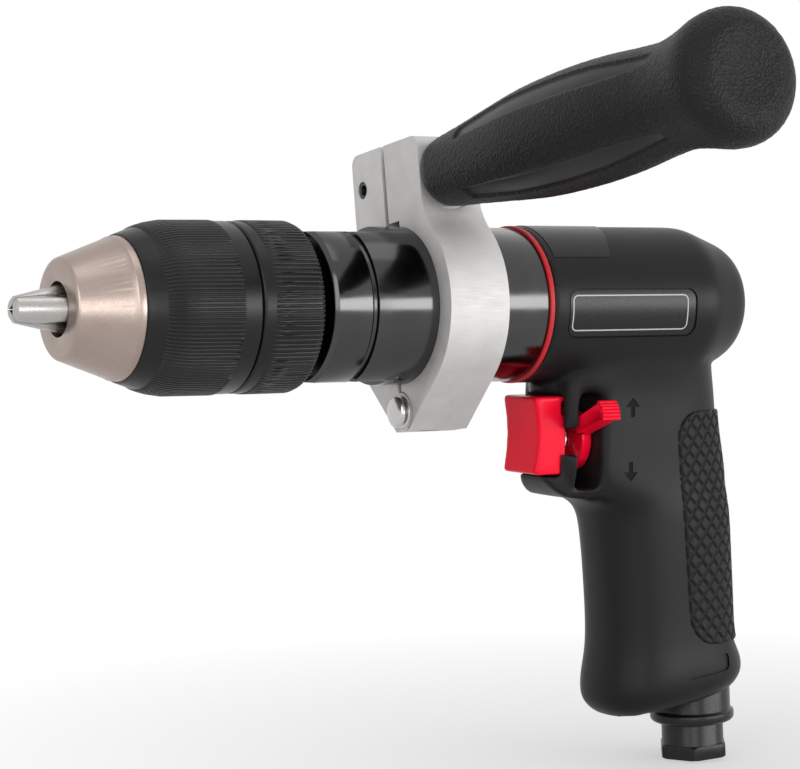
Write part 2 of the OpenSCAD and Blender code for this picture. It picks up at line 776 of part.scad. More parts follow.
// Two flats for a wrench, above and below the barrel
module wrench_flats() {
    flats_z = barrel_d / 2 - flats_depth;
    for (side = [-1, 1])
        translate([x_cap - flats_len, -barrel_d, side > 0 ? flats_z : -flats_z - barrel_d])
            cube([flats_len + past, 2 * barrel_d, barrel_d]);
}

module front_cap() {
    r = barrel_d / 2;
    edge = 1;
    step = 3;
    spacer_d = spindle_bearing_d - 2 * step;
    color(dark_steel) difference() {
        turned([[x_cap, 0], [x_cap, r - edge], [x_cap - edge, r], [x_case + groove_w / 2, r],
            [x_case + groove_w / 2, r - groove_depth], [x_case, r - groove_depth],
            [x_case, case_bore_d / 2 - seat_gap], [x_cap_end, case_bore_d / 2 - seat_gap], [x_cap_end, 0]]);
        bar(x_cap + past, x_cap_end - past, spindle_shoulder_d + 2 * free_gap);
        bar(x_bearing_front, x_bearing_front_end, spindle_bearing_d);
        bar(x_bearing_front_end + join, x_bearing_rear - join, spacer_d);
        bar(x_bearing_rear, x_cap_end - past, spindle_bearing_d);
        wrench_flats();
    }
}

module gear_case() {
    r = barrel_d / 2;
    color(dark_steel) difference() {
        turned([[x_case, 0], [x_case, r - groove_depth], [x_case - groove_w / 2, r - groove_depth],
            [x_case - groove_w / 2, r], [x_seal, r], [x_seal, spigot_d / 2],
            [x_seal - spigot_len, spigot_d / 2], [x_seal - spigot_len, 0]]);
        bar(x_case + past, x_ring_end, case_bore_d);
        bar(x_case + past, x_seal - spigot_len - past, motor_d + 2 * seat_gap);
        wrench_flats();
    }
}

module seal_ring() {
    color(red) difference() {
        bar(x_seal, x_house, house_d);
        bar(x_seal + past, x_house - past, spigot_d + 2 * seat_gap);
    }
}

// Motor

module motor_cylinder() {
    port_d = 5;
    color(steel) difference() {
        bar(x_cylinder, x_cylinder_end, motor_d);
        translate([0, 0, cylinder_offset]) 
            bar(x_cylinder + past, x_cylinder_end - past, cylinder_bore_d);
        for (side = [-1, 1], share = [0.25, 0.5, 0.75])
            translate([x_cylinder - cylinder_len * share, side * motor_d / 4, -motor_d])
                cylinder(d = port_d, h = motor_d);
    }
}

module front_end_plate() {
    color(steel) difference() {
        bar(x_front_plate, x_cylinder, motor_d);
        bar(x_front_plate + past, x_cylinder + plate_web, rotor_bearing_d);
        bar(x_front_plate + past, x_cylinder - past, rotor_shaft_d + 2 * free_gap);
    }
}

module rear_end_plate() {
    color(steel) difference() {
        bar(x_cylinder_end, x_rear_plate_end, motor_d);
        bar(x_cylinder_end - plate_web, x_rear_plate_end - past, rotor_bearing_d);
        bar(x_cylinder_end + past, x_rear_plate_end - past, rotor_shaft_d + 2 * free_gap);
    }
}

module rotor_bearing_front() {
    bearing(x_cylinder + plate_web + rotor_bearing_w, rotor_bearing_w, rotor_shaft_d, rotor_bearing_d);
}

module rotor_bearing_rear() {
    bearing(x_cylinder_end - plate_web, rotor_bearing_w, rotor_shaft_d, rotor_bearing_d);
}

// Vane number k, or its slot, from the bottom of the slot out to radius r
module vane(k, x_a, x_b, t, depth, r) {
    rotate([360 / vanes_n * k, 0, 0]) translate([x_b, rotor_d / 2 - depth, -t / 2])
        cube([x_a - x_b, depth + r - rotor_d / 2, t]);
}

module rotor() {
    x_pinion = x_planet_first + free_gap / 2;
    x_shaft = x_planet_first_end - free_gap;
    x_shaft_end = x_cylinder_end - plate_web - rotor_bearing_w;
    x_body = x_cylinder - rotor_end_gap;
    x_body_end = x_cylinder_end + rotor_end_gap;
    color(dark_steel) difference() {
        union() {
            gear(sun_teeth, x_pinion, x_shaft - join);
            bar(x_shaft, x_shaft_end, rotor_shaft_d);
            bar(x_body, x_body_end, rotor_d);
        }
        for (k = [0:vanes_n - 1])
            vane(k, x_body + rotor_end_gap, x_body_end - rotor_end_gap, vane_t + vane_slack,
                vane_h + vane_slack, cylinder_bore_d / 2);
    }
}

module vanes() {
    x_vane = x_cylinder - rotor_end_gap;
    x_vane_end = x_cylinder_end + rotor_end_gap;
    color(bronze) for (k = [0:vanes_n - 1]) intersection() {
        vane(k, x_vane, x_vane_end, vane_t, vane_h, rotor_d / 2);
        bar(x_cylinder, x_cylinder_end, rotor_d);
    }
}

// Housing: rows of [height, front, rear, half width, squareness of the front, tilt share] down
// the grip, with the places along X counted from the front of the housing
grip_rows = [
    [-3, -10.7, -56.5, 17.4, 2.4, 0],
    [-12, -10.4, -61.5, 16.6, 3, 0],
    [-22, -10.2, -64.2, 14.8, 4.5, 0],
    [-34, -10.2, -65.6, 14.4, 5, 0],
    [-45, -10.6, -67.6, 14.4, 4.4, 0],
    [-50, -13.6, -67.8, 14.5, 3.4, 0],
    [-54, -22.4, -68.2, 14.7, 2.9, 0],
    [-60, -25.6, -68.8, 15, 2.6, 0],
    [-80, -27.9, -69.9, 15.2, 2.6, 0.1],
    [-93, -28.5, -70.6, 15.7, 2.6, 0.3],
    [-101, -27.1, -73.3, 16.6, 2.6, 0.8],
    [-106.2, -27.6, -73.5, 16.2, 2.6, 1],
    [-109.8, -31.2, -70, 13.4, 2.5, 1]];
rear_square = 2.5;
grip_w = 2 * max([for (row = grip_rows) row[3]]);
grip_levels = 34;
grip_sides = 40;

function oval(p, n) = sign(p) * pow(abs(p), 2 / n);
// One level of the grip, grown by a margin all round
function grip_ring(row, grow) =
    let (x_mid = (row[1] + row[2]) / 2, a = (row[1] - row[2]) / 2 + grow, b = row[3] + grow)
    [for (j = [0:grip_sides - 1])
        let (t = 360 * j / grip_sides, n = cos(t) > 0 ? row[4] : rear_square, dx = a * oval(cos(t), n))
        [x_house + x_mid + dx, b * oval(sin(t), n), row[0] - dx * tan(bottom_tilt) * row[5]]];

module grip_form(grow = 0) {
    last = len(grip_rows) - 1;
    loft([for (i = [0:grip_levels]) grip_ring(row_at(grip_rows, last * i / grip_levels), grow)]);
}

module housing_form() {
    r = house_d / 2;
    nose_r = 0.6;
    crease = 1;
    crease_r = 0.25;
    tail = [[0.65, 0.79], [0.8, 0.7], [0.91, 0.5], [0.975, 0.25], [1, 0.1], [1, 0]];
    turned(concat([[x_house, 0], [x_house, r - nose_r], [x_house - nose_r, r], [x_tail + crease, r],
        [x_tail - crease, r - crease_r]], [for (p = tail) [x_tail - p[0] * house_tail_len, p[1] * r]]));
}

// The narrow round nose of the grip: a brow above the trigger and a chin below it
module guard_nose() {
    wall = 1.5;
    nose_out = 2.2;
    nose_back = 6;
    brow_back = 2.9;
    chin_h = 7.6;
    chin_r = 13;
    chin_turn = -66;
    nose_r = trigger_w / 2 + wall;
    x_nose = x_guard + nose_out;
    x_back = x_nose - nose_r - nose_back;
    bottom = z_trigger - trigger_h / 2 - chin_h;
    top = -house_d / 4;
    translate([0, 0, z_trigger]) linear_extrude(top - z_trigger)
        nose_plan(x_nose - brow_back, x_back, nose_r);
    intersection() {
        translate([0, 0, bottom - past]) linear_extrude(z_trigger - bottom + past)
            nose_plan(x_nose, x_back, nose_r);
        translate([0, nose_r + past, 0]) rotate([90, 0, 0]) linear_extrude(2 * (nose_r + past))
            polygon(concat([[x_back, z_trigger + past], [x_nose, z_trigger + past]],
                arc([x_nose - chin_r, bottom + chin_r], chin_r, 0, chin_turn, 10), [[x_back, bottom]]));
    }
}

// Straight sides with a round front, seen from above
module nose_plan(x_front, x_back, r) {
    translate([x_front - r, 0]) circle(r = r);
    translate([x_back, -r]) square([x_front - r - x_back, 2 * r]);
}

module plate_recess() {
    x_front = x_house - plate_set_back;
    corner = 3;
    intersection() {
        difference() {
            bar(x_front + past, x_front - plate_len - past, house_d + 4 * past);
            bar(x_front + 2 * past, x_front - plate_len - 2 * past, house_d - 2 * plate_depth);
        }
        translate([x_front - plate_len, 0, plate_z + plate_h / 2]) rotate([-90, 0, 0])
            linear_extrude(house_d) round_box(plate_len, plate_h, corner);
    }
}

// A flat box with round corners, from the origin
module round_box(w, h, r) {
    translate([r, 0]) square([w - 2 * r, h]);
    translate([0, r]) square([w, h - 2 * r]);
    for (x = [r, w - r], y = [r, h - r]) translate([x, y]) circle(r = r);
}

module in_inlet() {
    translate([x_inlet, 0, z_valve]) rotate([0, 180 + inlet_lean, 0]) children();
}

module trigger_pocket() {
    side = trigger_w / 2 + free_gap;
    height = trigger_h + 2 * free_gap;
    hub_room = 0.1;
    shoulder = 2.6;
    x_tab = x_trigger_back + shoulder;
    translate([x_hub + hub_room, -side, z_trigger - height / 2]) cube([house_d, 2 * side, height]);
    translate([x_tab, -house_d / 2, z_trigger - height / 2]) cube([house_d, house_d, height]);
}

module lever_slot() {
    hub_r = lever_hub_d / 2 + free_gap;
    hub_room = 0.2;
    boss_h = 6.8;
    translate([0, 0, z_valve]) bar(x_hub + free_gap, x_hub_end - hub_room, 2 * hub_r);
    translate([x_slot - slot_w, 0, z_valve - slot_h / 2]) cube([slot_w, house_d, slot_h]);
    translate([x_slot - past, 0, z_valve - boss_h / 2]) cube([house_d / 4, house_d, boss_h]);
}

module housing() {
    color(black) difference() {
        union() {
            housing_form();
            grip_form();
            guard_nose();
        }
        bar(x_house + past, x_motor_bore_end, motor_d + 2 * seat_gap);
        bar(x_house + past, x_seal - spigot_len - free_gap, spigot_d + 2 * seat_gap);
        plate_recess();
        trigger_pocket();
        lever_slot();
        translate([0, 0, z_valve]) bar(x_hub, x_inlet, reverse_d + 2 * run_gap);
        in_inlet() translate([0, 0, -reverse_d / 2]) cylinder(d = inlet_bore_d, h = rim_depth);
        in_inlet() translate([0, 0, bush_top]) cylinder(d = bush_d + 2 * seat_gap, h = rim_depth);
        in_inlet() translate([0, 0, collar_top]) cylinder(d = collar_d + 2 * seat_gap, h = rim_depth);
    }
}

module grip_pad() {
    corner_r = 8;
    length = pad_bottom - pad_top;
    room = grip_w + corner_r;
    color(rubber) difference() {
        intersection() {
            grip_form(pad_t);
            translate([x_house - pad_set_back, room / 2, -pad_top]) rotate([90, pad_lean, 0])
                linear_extrude(room) translate([-room, -length]) round_box(room, length, corner_r);
        }
        grip_form(seat_gap);
    }
}

// Trigger and valve

// The trigger's outside, round at its front edges, with its middle at height zero
module trigger_form() {
    spare = trigger_depth;
    length = trigger_depth + spare;
    x_rear = x_trigger - length;
    intersection() {
        translate([x_rear, -trigger_w / 2, -trigger_h]) linear_extrude(2 * trigger_h)
            round_box(length, trigger_w, trigger_side_r);
        translate([x_rear, trigger_w, -trigger_h / 2]) rotate([90, 0, 0]) linear_extrude(2 * trigger_w)
            round_box(length, trigger_h, trigger_edge_r);
        translate([x_trigger_back, -trigger_w, -trigger_h])
            cube([2 * trigger_depth, 2 * trigger_w, 2 * trigger_h]);
    }
}

module trigger() {
    half_w = trigger_w / 2;
    inside_front = finger_hollow + trigger_wall;
    hollow_r = (pow(trigger_h / 2, 2) + pow(finger_hollow, 2)) / 2 / finger_hollow;
    room = [trigger_depth - inside_front, trigger_w - 2 * trigger_wall, trigger_h - 2 * trigger_wall];
    notch_h = 3;
    notch_depth = 1.4;
    notch_drop = 2.2;
    boss_wall = 1.5;
    x_inside = x_trigger - inside_front;
    color(red) translate([0, 0, z_trigger]) difference() {
        union() {
            difference() {
                trigger_form();
                translate([x_trigger_back - past, -room[1] / 2, -room[2] / 2])
                    cube([room[0] + past, room[1], room[2]]);
            }
            translate([0, 0, -trigger_rise])
                bar(x_inside + join, x_inside - spring_seat, stem_d + 2 * boss_wall);
        }
        translate([x_trigger + hollow_r - finger_hollow, half_w + past, 0]) rotate([90, 0, 0])
            cylinder(r = hollow_r, h = trigger_w + 2 * past, $fn = 240);
        for (z = [trigger_h / 2 - notch_drop - notch_h, -trigger_h / 2 - past])
            translate([x_trigger_back - past, -half_w - past, z])
                cube([past + notch_depth, trigger_w + 2 * past, notch_h + past]);
        translate([0, 0, -trigger_rise])
            bar(x_stem + seat_gap, x_trigger_back - past, stem_d + 2 * seat_gap);
    }
}

module valve_stem() {
    color(steel) translate([0, 0, z_valve]) {
        bar(x_stem, x_poppet - join, stem_d);
        bar(x_poppet, x_poppet - poppet_w, poppet_d);
    }
}

module poppet_seal() {
    lip = 0.2;
    color(rubber) translate([0, 0, z_valve]) difference() {
        bar(x_poppet + seat_gap, x_poppet + seat_gap + poppet_seal_w, poppet_d);
        bar(x_poppet - past, x_seat_end, seat_hole_d + 2 * lip);
    }
}

module valve_seat() {
    color(brass) translate([0, 0, z_valve]) difference() {
        bar(x_seat, x_seat_end, reverse_d + 2 * run_gap - 2 * seat_gap);
        bar(x_seat + past, x_seat_end - past, seat_hole_d);
    }
}

// The helical spring between the trigger and the lever hub
spring_rings = 8;
spring_sides = 6;
spring_steps = floor(spring_turns * spring_rings);
spring_len = x_spring - x_spring_end - spring_wire;
spring_mean_r = (spring_d - spring_wire) / 2;
function spring_centre(i) = let (u = i / spring_steps, a = 360 * spring_turns * u)
    [x_spring - spring_wire / 2 - spring_len * u, spring_mean_r * cos(a), spring_mean_r * sin(a) + z_valve];
function spring_ring(i) = let (a = 360 * spring_turns * i / spring_steps)
    [for (j = [0:spring_sides - 1]) let (b = 360 * j / spring_sides)
        spring_centre(i) + spring_wire / 2 * [sin(b), cos(b) * cos(a), cos(b) * sin(a)]];
spring_self_gap = min([for (i = [0:spring_steps], k = [0:spring_steps]) if (k - i > spring_rings / 2)
    norm(spring_centre(i) - spring_centre(k))]) - spring_wire;

module trigger_spring() {
    echo(least_gap_of_spring = spring_self_gap);
    color(steel) loft([for (i = [0:spring_steps]) spring_ring(i)]);
}

// The lever's arm seen from the front: it spreads out to a round knob with ridges for the thumb
module lever_outline(arm_from, arm_t) {
    knob_r = 5;
    ridges_n = 6;
    ridge_turn = 12;
    ridge_d = 1.2;
    half_turn = ridge_turn * (ridges_n - 1) / 2;
    centre = [lever_reach - knob_r, 0];
    edge_r = knob_r - ridge_d / 2;
    polygon(concat([[arm_from, arm_t / 2], [arm_from, -arm_t / 2]],
        arc(centre, edge_r, -half_turn, half_turn)));
    for (a = [-half_turn:ridge_turn:half_turn])
        translate(centre + edge_r * [cos(a), sin(a)]) circle(d = ridge_d, $fn = 24);
}

module reverse_lever() {
    arm_t = 3.6;
    x_arm = x_slot - slot_w + (slot_w - lever_w) / 2;
    arm_from = (trigger_w / 2 + free_gap + arm_t / 2 * sin(lever_angle)) / cos(lever_angle);
    color(red) translate([0, 0, z_valve]) difference() {
        union() {
            bar(x_hub, x_hub_end, lever_hub_d);
            rotate([lever_angle, 0, 0]) {
                translate([x_hub_end, 0, -arm_t / 2]) cube([lever_hub_w, arm_from + arm_t, arm_t]);
                along_x(x_arm) linear_extrude(lever_w) lever_outline(arm_from, arm_t);
            }
        }
        bar(x_hub + past, x_hub_end - past, stem_d + 4 * run_gap);
    }
}

module reverse_valve() {
    window = 5;
    color(brass) translate([0, 0, z_valve]) difference() {
        bar(x_hub_end - seat_gap, x_reverse_end, reverse_d);
        bar(x_hub_end + past, x_reverse_end - past, seat_hole_d);
        translate([(x_hub_end + x_reverse_end) / 2, 0, 0]) cylinder(d = window, h = reverse_d);
    }
}

// Air inlet

module exhaust_collar() {
    edge = 0.8;
    inner_r = bush_d / 2 + seat_gap;
    r = collar_d / 2;
    rim_r = collar_rim_d / 2;
    color(black) in_inlet() rotate_extrude() polygon([[inner_r, collar_top], [r, collar_top],
        [r, rim_depth - rim_w], [rim_r, rim_depth - rim_w + edge / 2], [rim_r, rim_depth - edge],
        [rim_r - edge, rim_depth], [inner_r, rim_depth]]);
}

module silencer() {
    color(bronze) in_inlet() difference() {
        translate([0, 0, bush_top]) cylinder(d = bush_d, h = collar_top - bush_top - seat_gap);
        translate([0, 0, bush_top - past]) cylinder(d = inlet_bore_d, h = collar_top);
    }
}

module inlet_bushing() {
    chamfer = 0.6;
    hex_r = hex_af / 2 / cos(30);
    color(dark_steel) in_inlet() difference() {
        union() {
            translate([0, 0, collar_top]) cylinder(d = bush_d, h = hex_top - collar_top);
            translate([0, 0, rim_depth + seat_gap]) cylinder(d = neck_d, h = neck_len);
            intersection() {
                translate([0, 0, hex_top]) rotate(hex_turn) cylinder(r = hex_r, h = hex_len, $fn = 6);
                rotate_extrude() polygon([[0, hex_top], [hex_r - chamfer, hex_top],
                    [hex_r, hex_top + chamfer], [hex_r, hex_bottom - chamfer],
                    [hex_r - chamfer, hex_bottom], [0, hex_bottom]]);
            }
        }
        translate([0, 0, thread_top]) cylinder(d = inlet_thread_d, h = inlet_thread_len + past);
        translate([0, 0, collar_top - past]) cylinder(d = screen_d, h = inlet_drop);
    }
}

// A pressed screen above the thread
module inlet_screen() {
    holes_n = 6;
    hole_d = 1.2;
    hole_ring_r = 2.6;
    color(steel) in_inlet() translate([0, 0, thread_top - screen_w]) difference() {
        cylinder(d = screen_d - 2 * seat_gap, h = screen_w);
        for (k = [0:holes_n - 1]) rotate(360 / holes_n * k) translate([hole_ring_r, 0, -past])
            cylinder(d = hole_d, h = screen_w + 2 * past);
    }
}

// Clamp and side handle, drawn level and then rolled about the spindle axis

module in_clamp() {
    rotate([clamp_roll, 0, 0]) children();
}

// The clamp seen from the front, both halves in one outline
module clamp_outline() {
    lug_r = 3;
    r = clamp_d / 2;
    chin_near = 51;
    chin_far = 42;
    difference() {
        union() {
            circle(r = r);
            translate([-far_lug_y, 0]) round_lug(far_lug_y + near_lug_y, lug_top, lug_r);
            lug_fillet();
            polygon([[hinge_y - hinge_flat / 2, -hinge_bottom], [hinge_y + hinge_flat / 2, -hinge_bottom],
                r * [cos(chin_near), -sin(chin_near)], [0, 0], r * [-cos(chin_far), -sin(chin_far)]]);
        }
        circle(d = barrel_d + 2 * run_gap);
    }
}

// The hollow curve where the near lug runs out into the ring
module lug_fillet() {
    r = clamp_d / 2;
    y_centre = near_lug_y + clamp_fillet_r;
    centre = [y_centre, sqrt(pow(r + clamp_fillet_r, 2) - pow(y_centre, 2))];
    touch = centre * r / (r + clamp_fillet_r);
    difference() {
        polygon([[0, 0], touch, centre, [near_lug_y, centre[1]], [0, centre[1]]]);
        translate(centre) circle(r = clamp_fillet_r);
    }
}

module round_lug(w, h, r) {
    square([w, h - r]);
    translate([r, 0]) square([w - 2 * r, h]);
    for (x = [r, w - r]) translate([x, h - r]) circle(r = r);
}

// One half of the clamp: side -1 is the far one, 1 the near one
module clamp_half(side) {
    far = clamp_d;
    edge = split_y + side * split_gap / 2;
    along_x(x_clamp - clamp_w) linear_extrude(clamp_w) intersection() {
        clamp_outline();
        translate([side > 0 ? edge : edge - far, -far]) square([far, 2 * far]);
    }
}

// A bar on the hinge axis
module hinge_bar(x_a, x_b, d) {
    translate([0, hinge_y, -hinge_drop]) bar(x_a, x_b, d);
}

module hinge_bore() {
    hinge_bar(x_clamp + past, x_clamp_end - past, hinge_pin_d + 2 * run_gap);
}

module roll_pin_bore() {
    translate([0, roll_pin_y, handle_h]) bar(x_clamp + past, x_clamp_end - past, roll_pin_d + 2 * seat_gap);
}

module clamp_far() {
    color(aluminium) in_clamp() difference() {
        union() {
            clamp_half(-1);
            hinge_bar(x_clamp, x_knuckle, knuckle_d);
            hinge_bar(x_knuckle_end, x_clamp_end, knuckle_d);
        }
        hinge_bar(x_knuckle + free_gap / 2, x_knuckle_end - free_gap / 2, knuckle_d + 2 * free_gap);
        hinge_bore();
        handle_bar(-far_lug_y - past, 0, stud_d + 2 * seat_gap);
        roll_pin_bore();
    }
}

module clamp_near() {
    relief = 1.2;
    relief_w = 6;
    color(aluminium) in_clamp() difference() {
        union() {
            difference() {
                clamp_half(1);
                hinge_bar(x_clamp + past, x_knuckle - free_gap / 2, knuckle_d + 2 * free_gap);
                hinge_bar(x_knuckle_end + free_gap / 2, x_clamp_end - past, knuckle_d + 2 * free_gap);
            }
            hinge_bar(x_knuckle - free_gap / 2, x_knuckle_end + free_gap / 2, knuckle_d);
        }
        translate([x_clamp_end - past, split_y, barrel_d / 2 - relief])
            cube([clamp_w + 2 * past, relief_w, 2 * relief]);
        hinge_bore();
        handle_bar(split_y, near_lug_y + past, stud_d + 2 * stud_hole_gap);
        handle_bar(near_lug_y, near_lug_y + clamp_fillet_r, handle_root_d + 2 * free_gap);
    }
}

module hinge_pin() {
    dome_r = (pow(pin_head_d / 2, 2) + pow(pin_head_h, 2)) / 2 / pin_head_h;
    dome_turn = asin(pin_head_d / 2 / dome_r);
    x_head = x_clamp + seat_gap;
    color(steel) in_clamp() union() {
        hinge_bar(x_head + join, x_clamp_end, hinge_pin_d);
        translate([0, hinge_y, -hinge_drop]) turned(concat([[x_head, 0]],
            arc([x_head + pin_head_h - dome_r, 0], dome_r, 0, dome_turn), [[x_head, pin_head_d / 2]]));
    }
}

module roll_pin() {
    wall = 0.9;
    inset = 0.3;
    color(dark_steel) in_clamp() translate([0, roll_pin_y, handle_h]) difference() {
        bar(x_clamp - inset, x_clamp_end + inset, roll_pin_d);
        bar(x_clamp + past, x_clamp_end - past, roll_pin_d - 2 * wall);
    }
}

// A bar along the handle axis between two sideways places
module handle_bar(y_a, y_b, d) {
    translate([x_clamp_mid, y_a, handle_h]) rotate([-90, 0, 0]) cylinder(d = d, h = y_b - y_a);
}

module handle_stud() {
    inset = 0.5;
    color(steel) in_clamp() difference() {
        handle_bar(inset - far_lug_y, y_handle + stud_in, stud_d);
        roll_pin_bore();
    }
}

module handle_washer() {
    rim = 1;
    color(dark_steel) in_clamp() difference() {
        handle_bar(near_lug_y + seat_gap, y_handle, handle_root_d - 2 * rim);
        handle_bar(near_lug_y - past, y_handle + past, stud_d + 2 * run_gap);
    }
}

module handle_insert() {
    y_end = y_handle + stud_in + handle_travel;
    color(brass) in_clamp() difference() {
        union() {
            handle_bar(y_handle + seat_gap, y_end, insert_d);
            handle_bar(y_handle + flange_from, y_handle + flange_from + flange_w, flange_d);
        }
        handle_bar(y_handle - past, y_end + past, stud_d + 2 * run_gap);
    }
}

// Rows of [share of the length, radius] along the side handle, from the clamp to the end
handle_rows = [[0, 0.468 * handle_root_d], [0.01, 0.5 * handle_root_d], [0.115, 0.573 * handle_root_d],
    [0.24, 0.432 * handle_swell_d], [0.36, 0.483 * handle_swell_d], [0.5, 0.5 * handle_swell_d],
    [0.62, 0.486 * handle_swell_d], [0.72, 0.516 * handle_neck_d], [0.8, 0.5 * handle_neck_d],
    [0.875, 0.446 * handle_knob_d], [0.935, 0.497 * handle_knob_d], [0.975, 0.476 * handle_knob_d],
    [1, 0.372 * handle_knob_d]];
handle_steps = 40;

module handle_form(grow) {
    last = len(handle_rows) - 1;
    edge = [for (i = [0:handle_steps]) row_at(handle_rows, last * i / handle_steps)];
    translate([x_clamp_mid, y_handle + seat_gap, handle_h]) rotate([-90, 0, 0]) rotate_extrude()
        polygon(concat([[0, 0]], [for (p = edge) [p[1] + grow, p[0] * handle_len]], [[0, handle_len]]));
}

// A long pointed hollow on one side of the handle
module leaf(turn) {
    from = 13;
    length = 0.69 * handle_len;
    half_w = 3.2;
    start_w = 1.6;
    blunt = 0.22;
    slim = 0.7;
    translate([x_clamp_mid, y_handle + from, handle_h]) rotate([0, turn, 0]) linear_extrude(handle_knob_d)
        polygon([[start_w, 0], [half_w, length * blunt], [half_w, length * slim], [0, length],
            [-half_w, length * slim], [-half_w, length * blunt], [-start_w, 0]]);
}

module side_handle() {
    dimple_r = 30;
    dimple_depth = 1;
    y_flange = y_handle + flange_from;
    color(black) in_clamp() difference() {
        handle_form(0);
        intersection() {
            difference() {
                handle_form(past);
                handle_form(-hollow_depth);
            }
            union() {
                for (k = [0:hollows_n - 1]) leaf(hollow_turn + 360 / hollows_n * k);
            }
        }
        handle_bar(y_handle - past, y_handle + stud_in + handle_travel + seat_gap, insert_d + 2 * seat_gap);
        handle_bar(y_flange - seat_gap, y_flange + flange_w + seat_gap, flange_d + 2 * seat_gap);
        translate([x_clamp_mid, y_handle + handle_len + dimple_r - dimple_depth, handle_h])
            sphere(r = dimple_r);
    }
}

chuck_body();
rear_sleeve();
chuck_screw();
thrust_balls();
front_sleeve();
split_nut();
thrust_washer();
jaw_1();
jaw_2();
jaw_3();
spindle();
output_planet_pins();
output_planet_1();
output_planet_2();
output_planet_3();
front_cap();
gear_case();
spindle_bearing_front();
spindle_bearing_rear();
ring_gear();
first_carrier();
first_planet_pins();
first_planet_1();
first_planet_2();
first_planet_3();
seal_ring();
motor_cylinder();
front_end_plate();
rear_end_plate();
rotor_bearing_front();
rotor_bearing_rear();
rotor();
vanes();
housing();
grip_pad();
trigger();
valve_stem();
poppet_seal();
trigger_spring();
valve_seat();
reverse_lever();
reverse_valve();
exhaust_collar();
silencer();
inlet_bushing();
inlet_screen();
clamp_far();
clamp_near();
hinge_pin();
roll_pin();
handle_stud();
handle_washer();
handle_insert();
side_handle();
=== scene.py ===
import math

import bmesh
import bpy
import numpy as np
from mathutils import Matrix, Vector
from mathutils.bvhtree import BVHTree
from mathutils.kdtree import KDTree


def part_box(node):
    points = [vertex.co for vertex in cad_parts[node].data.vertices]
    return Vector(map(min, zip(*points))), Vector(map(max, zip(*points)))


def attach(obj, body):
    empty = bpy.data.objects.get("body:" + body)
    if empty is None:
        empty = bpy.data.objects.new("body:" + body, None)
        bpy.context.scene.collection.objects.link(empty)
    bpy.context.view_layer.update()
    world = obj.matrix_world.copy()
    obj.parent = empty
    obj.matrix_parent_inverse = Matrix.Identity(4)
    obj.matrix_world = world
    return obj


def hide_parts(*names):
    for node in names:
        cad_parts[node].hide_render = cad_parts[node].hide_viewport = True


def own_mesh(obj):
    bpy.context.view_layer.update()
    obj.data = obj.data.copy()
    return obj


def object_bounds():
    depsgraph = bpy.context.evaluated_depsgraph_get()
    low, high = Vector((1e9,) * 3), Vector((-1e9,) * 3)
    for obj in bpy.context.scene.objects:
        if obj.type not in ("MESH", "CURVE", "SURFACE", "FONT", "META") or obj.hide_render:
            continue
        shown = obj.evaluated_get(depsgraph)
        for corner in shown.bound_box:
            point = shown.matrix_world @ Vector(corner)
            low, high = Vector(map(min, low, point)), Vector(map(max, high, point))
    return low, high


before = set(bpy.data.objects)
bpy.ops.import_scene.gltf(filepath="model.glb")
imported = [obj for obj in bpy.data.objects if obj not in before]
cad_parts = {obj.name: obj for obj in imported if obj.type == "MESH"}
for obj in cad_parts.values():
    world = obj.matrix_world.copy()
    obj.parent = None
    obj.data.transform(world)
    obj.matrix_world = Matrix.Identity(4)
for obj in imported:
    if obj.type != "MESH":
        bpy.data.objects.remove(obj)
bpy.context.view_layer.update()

# Chuck body: turned steel with a satin nickel plating, screwed onto the spindle nose. Only its cone
# shows, in front of the sleeves, with a bright turned lip where the front sleeve begins.
MM = 0.001
SHARP_EDGE = 32


class Wire:
    """An output of a node tree. Arithmetic on it adds the Math nodes."""

    def __init__(self, graph, socket):
        self.graph = graph
        self.socket = socket

    def __add__(self, other):
        return self.graph.math("ADD", self, other)

    def __radd__(self, other):
        return self.graph.math("ADD", other, self)

    def __sub__(self, other):
        return self.graph.math("SUBTRACT", self, other)

    def __rsub__(self, other):
        return self.graph.math("SUBTRACT", other, self)

    def __mul__(self, other):
        return self.graph.math("MULTIPLY", self, other)

    def __rmul__(self, other):
        return self.graph.math("MULTIPLY", other, self)

    def __truediv__(self, other):
        return self.graph.math("DIVIDE", self, other)

    def __rtruediv__(self, other):
        return self.graph.math("DIVIDE", other, self)


class Graph:
    """A node tree that is filled from code."""

    def __init__(self, tree):
        self.tree = tree

    def node(self, kind, settings=None, inputs=None, out=0):
        node = self.tree.nodes.new(kind)
        for key, value in (settings or {}).items():
            setattr(node, key, value)
        for key, value in (inputs or {}).items():
            if isinstance(value, Wire):
                self.tree.links.new(value.socket, node.inputs[key])
            else:
                node.inputs[key].default_value = value
        return Wire(self, node.outputs[out]) if node.outputs else None

    def math(self, operation, *values):
        return self.node("ShaderNodeMath", {"operation": operation}, dict(enumerate(values)))

    def vector(self, x, y, z):
        return self.node("ShaderNodeCombineXYZ", None, {0: x, 1: y, 2: z})

    def span(self, value, low, high, to_low, to_high, soft=False):
        kind = {"interpolation_type": "SMOOTHSTEP" if soft else "LINEAR"}
        return self.node("ShaderNodeMapRange", kind, {
            "Value": value, "From Min": low, "From Max": high, "To Min": to_low, "To Max": to_high})


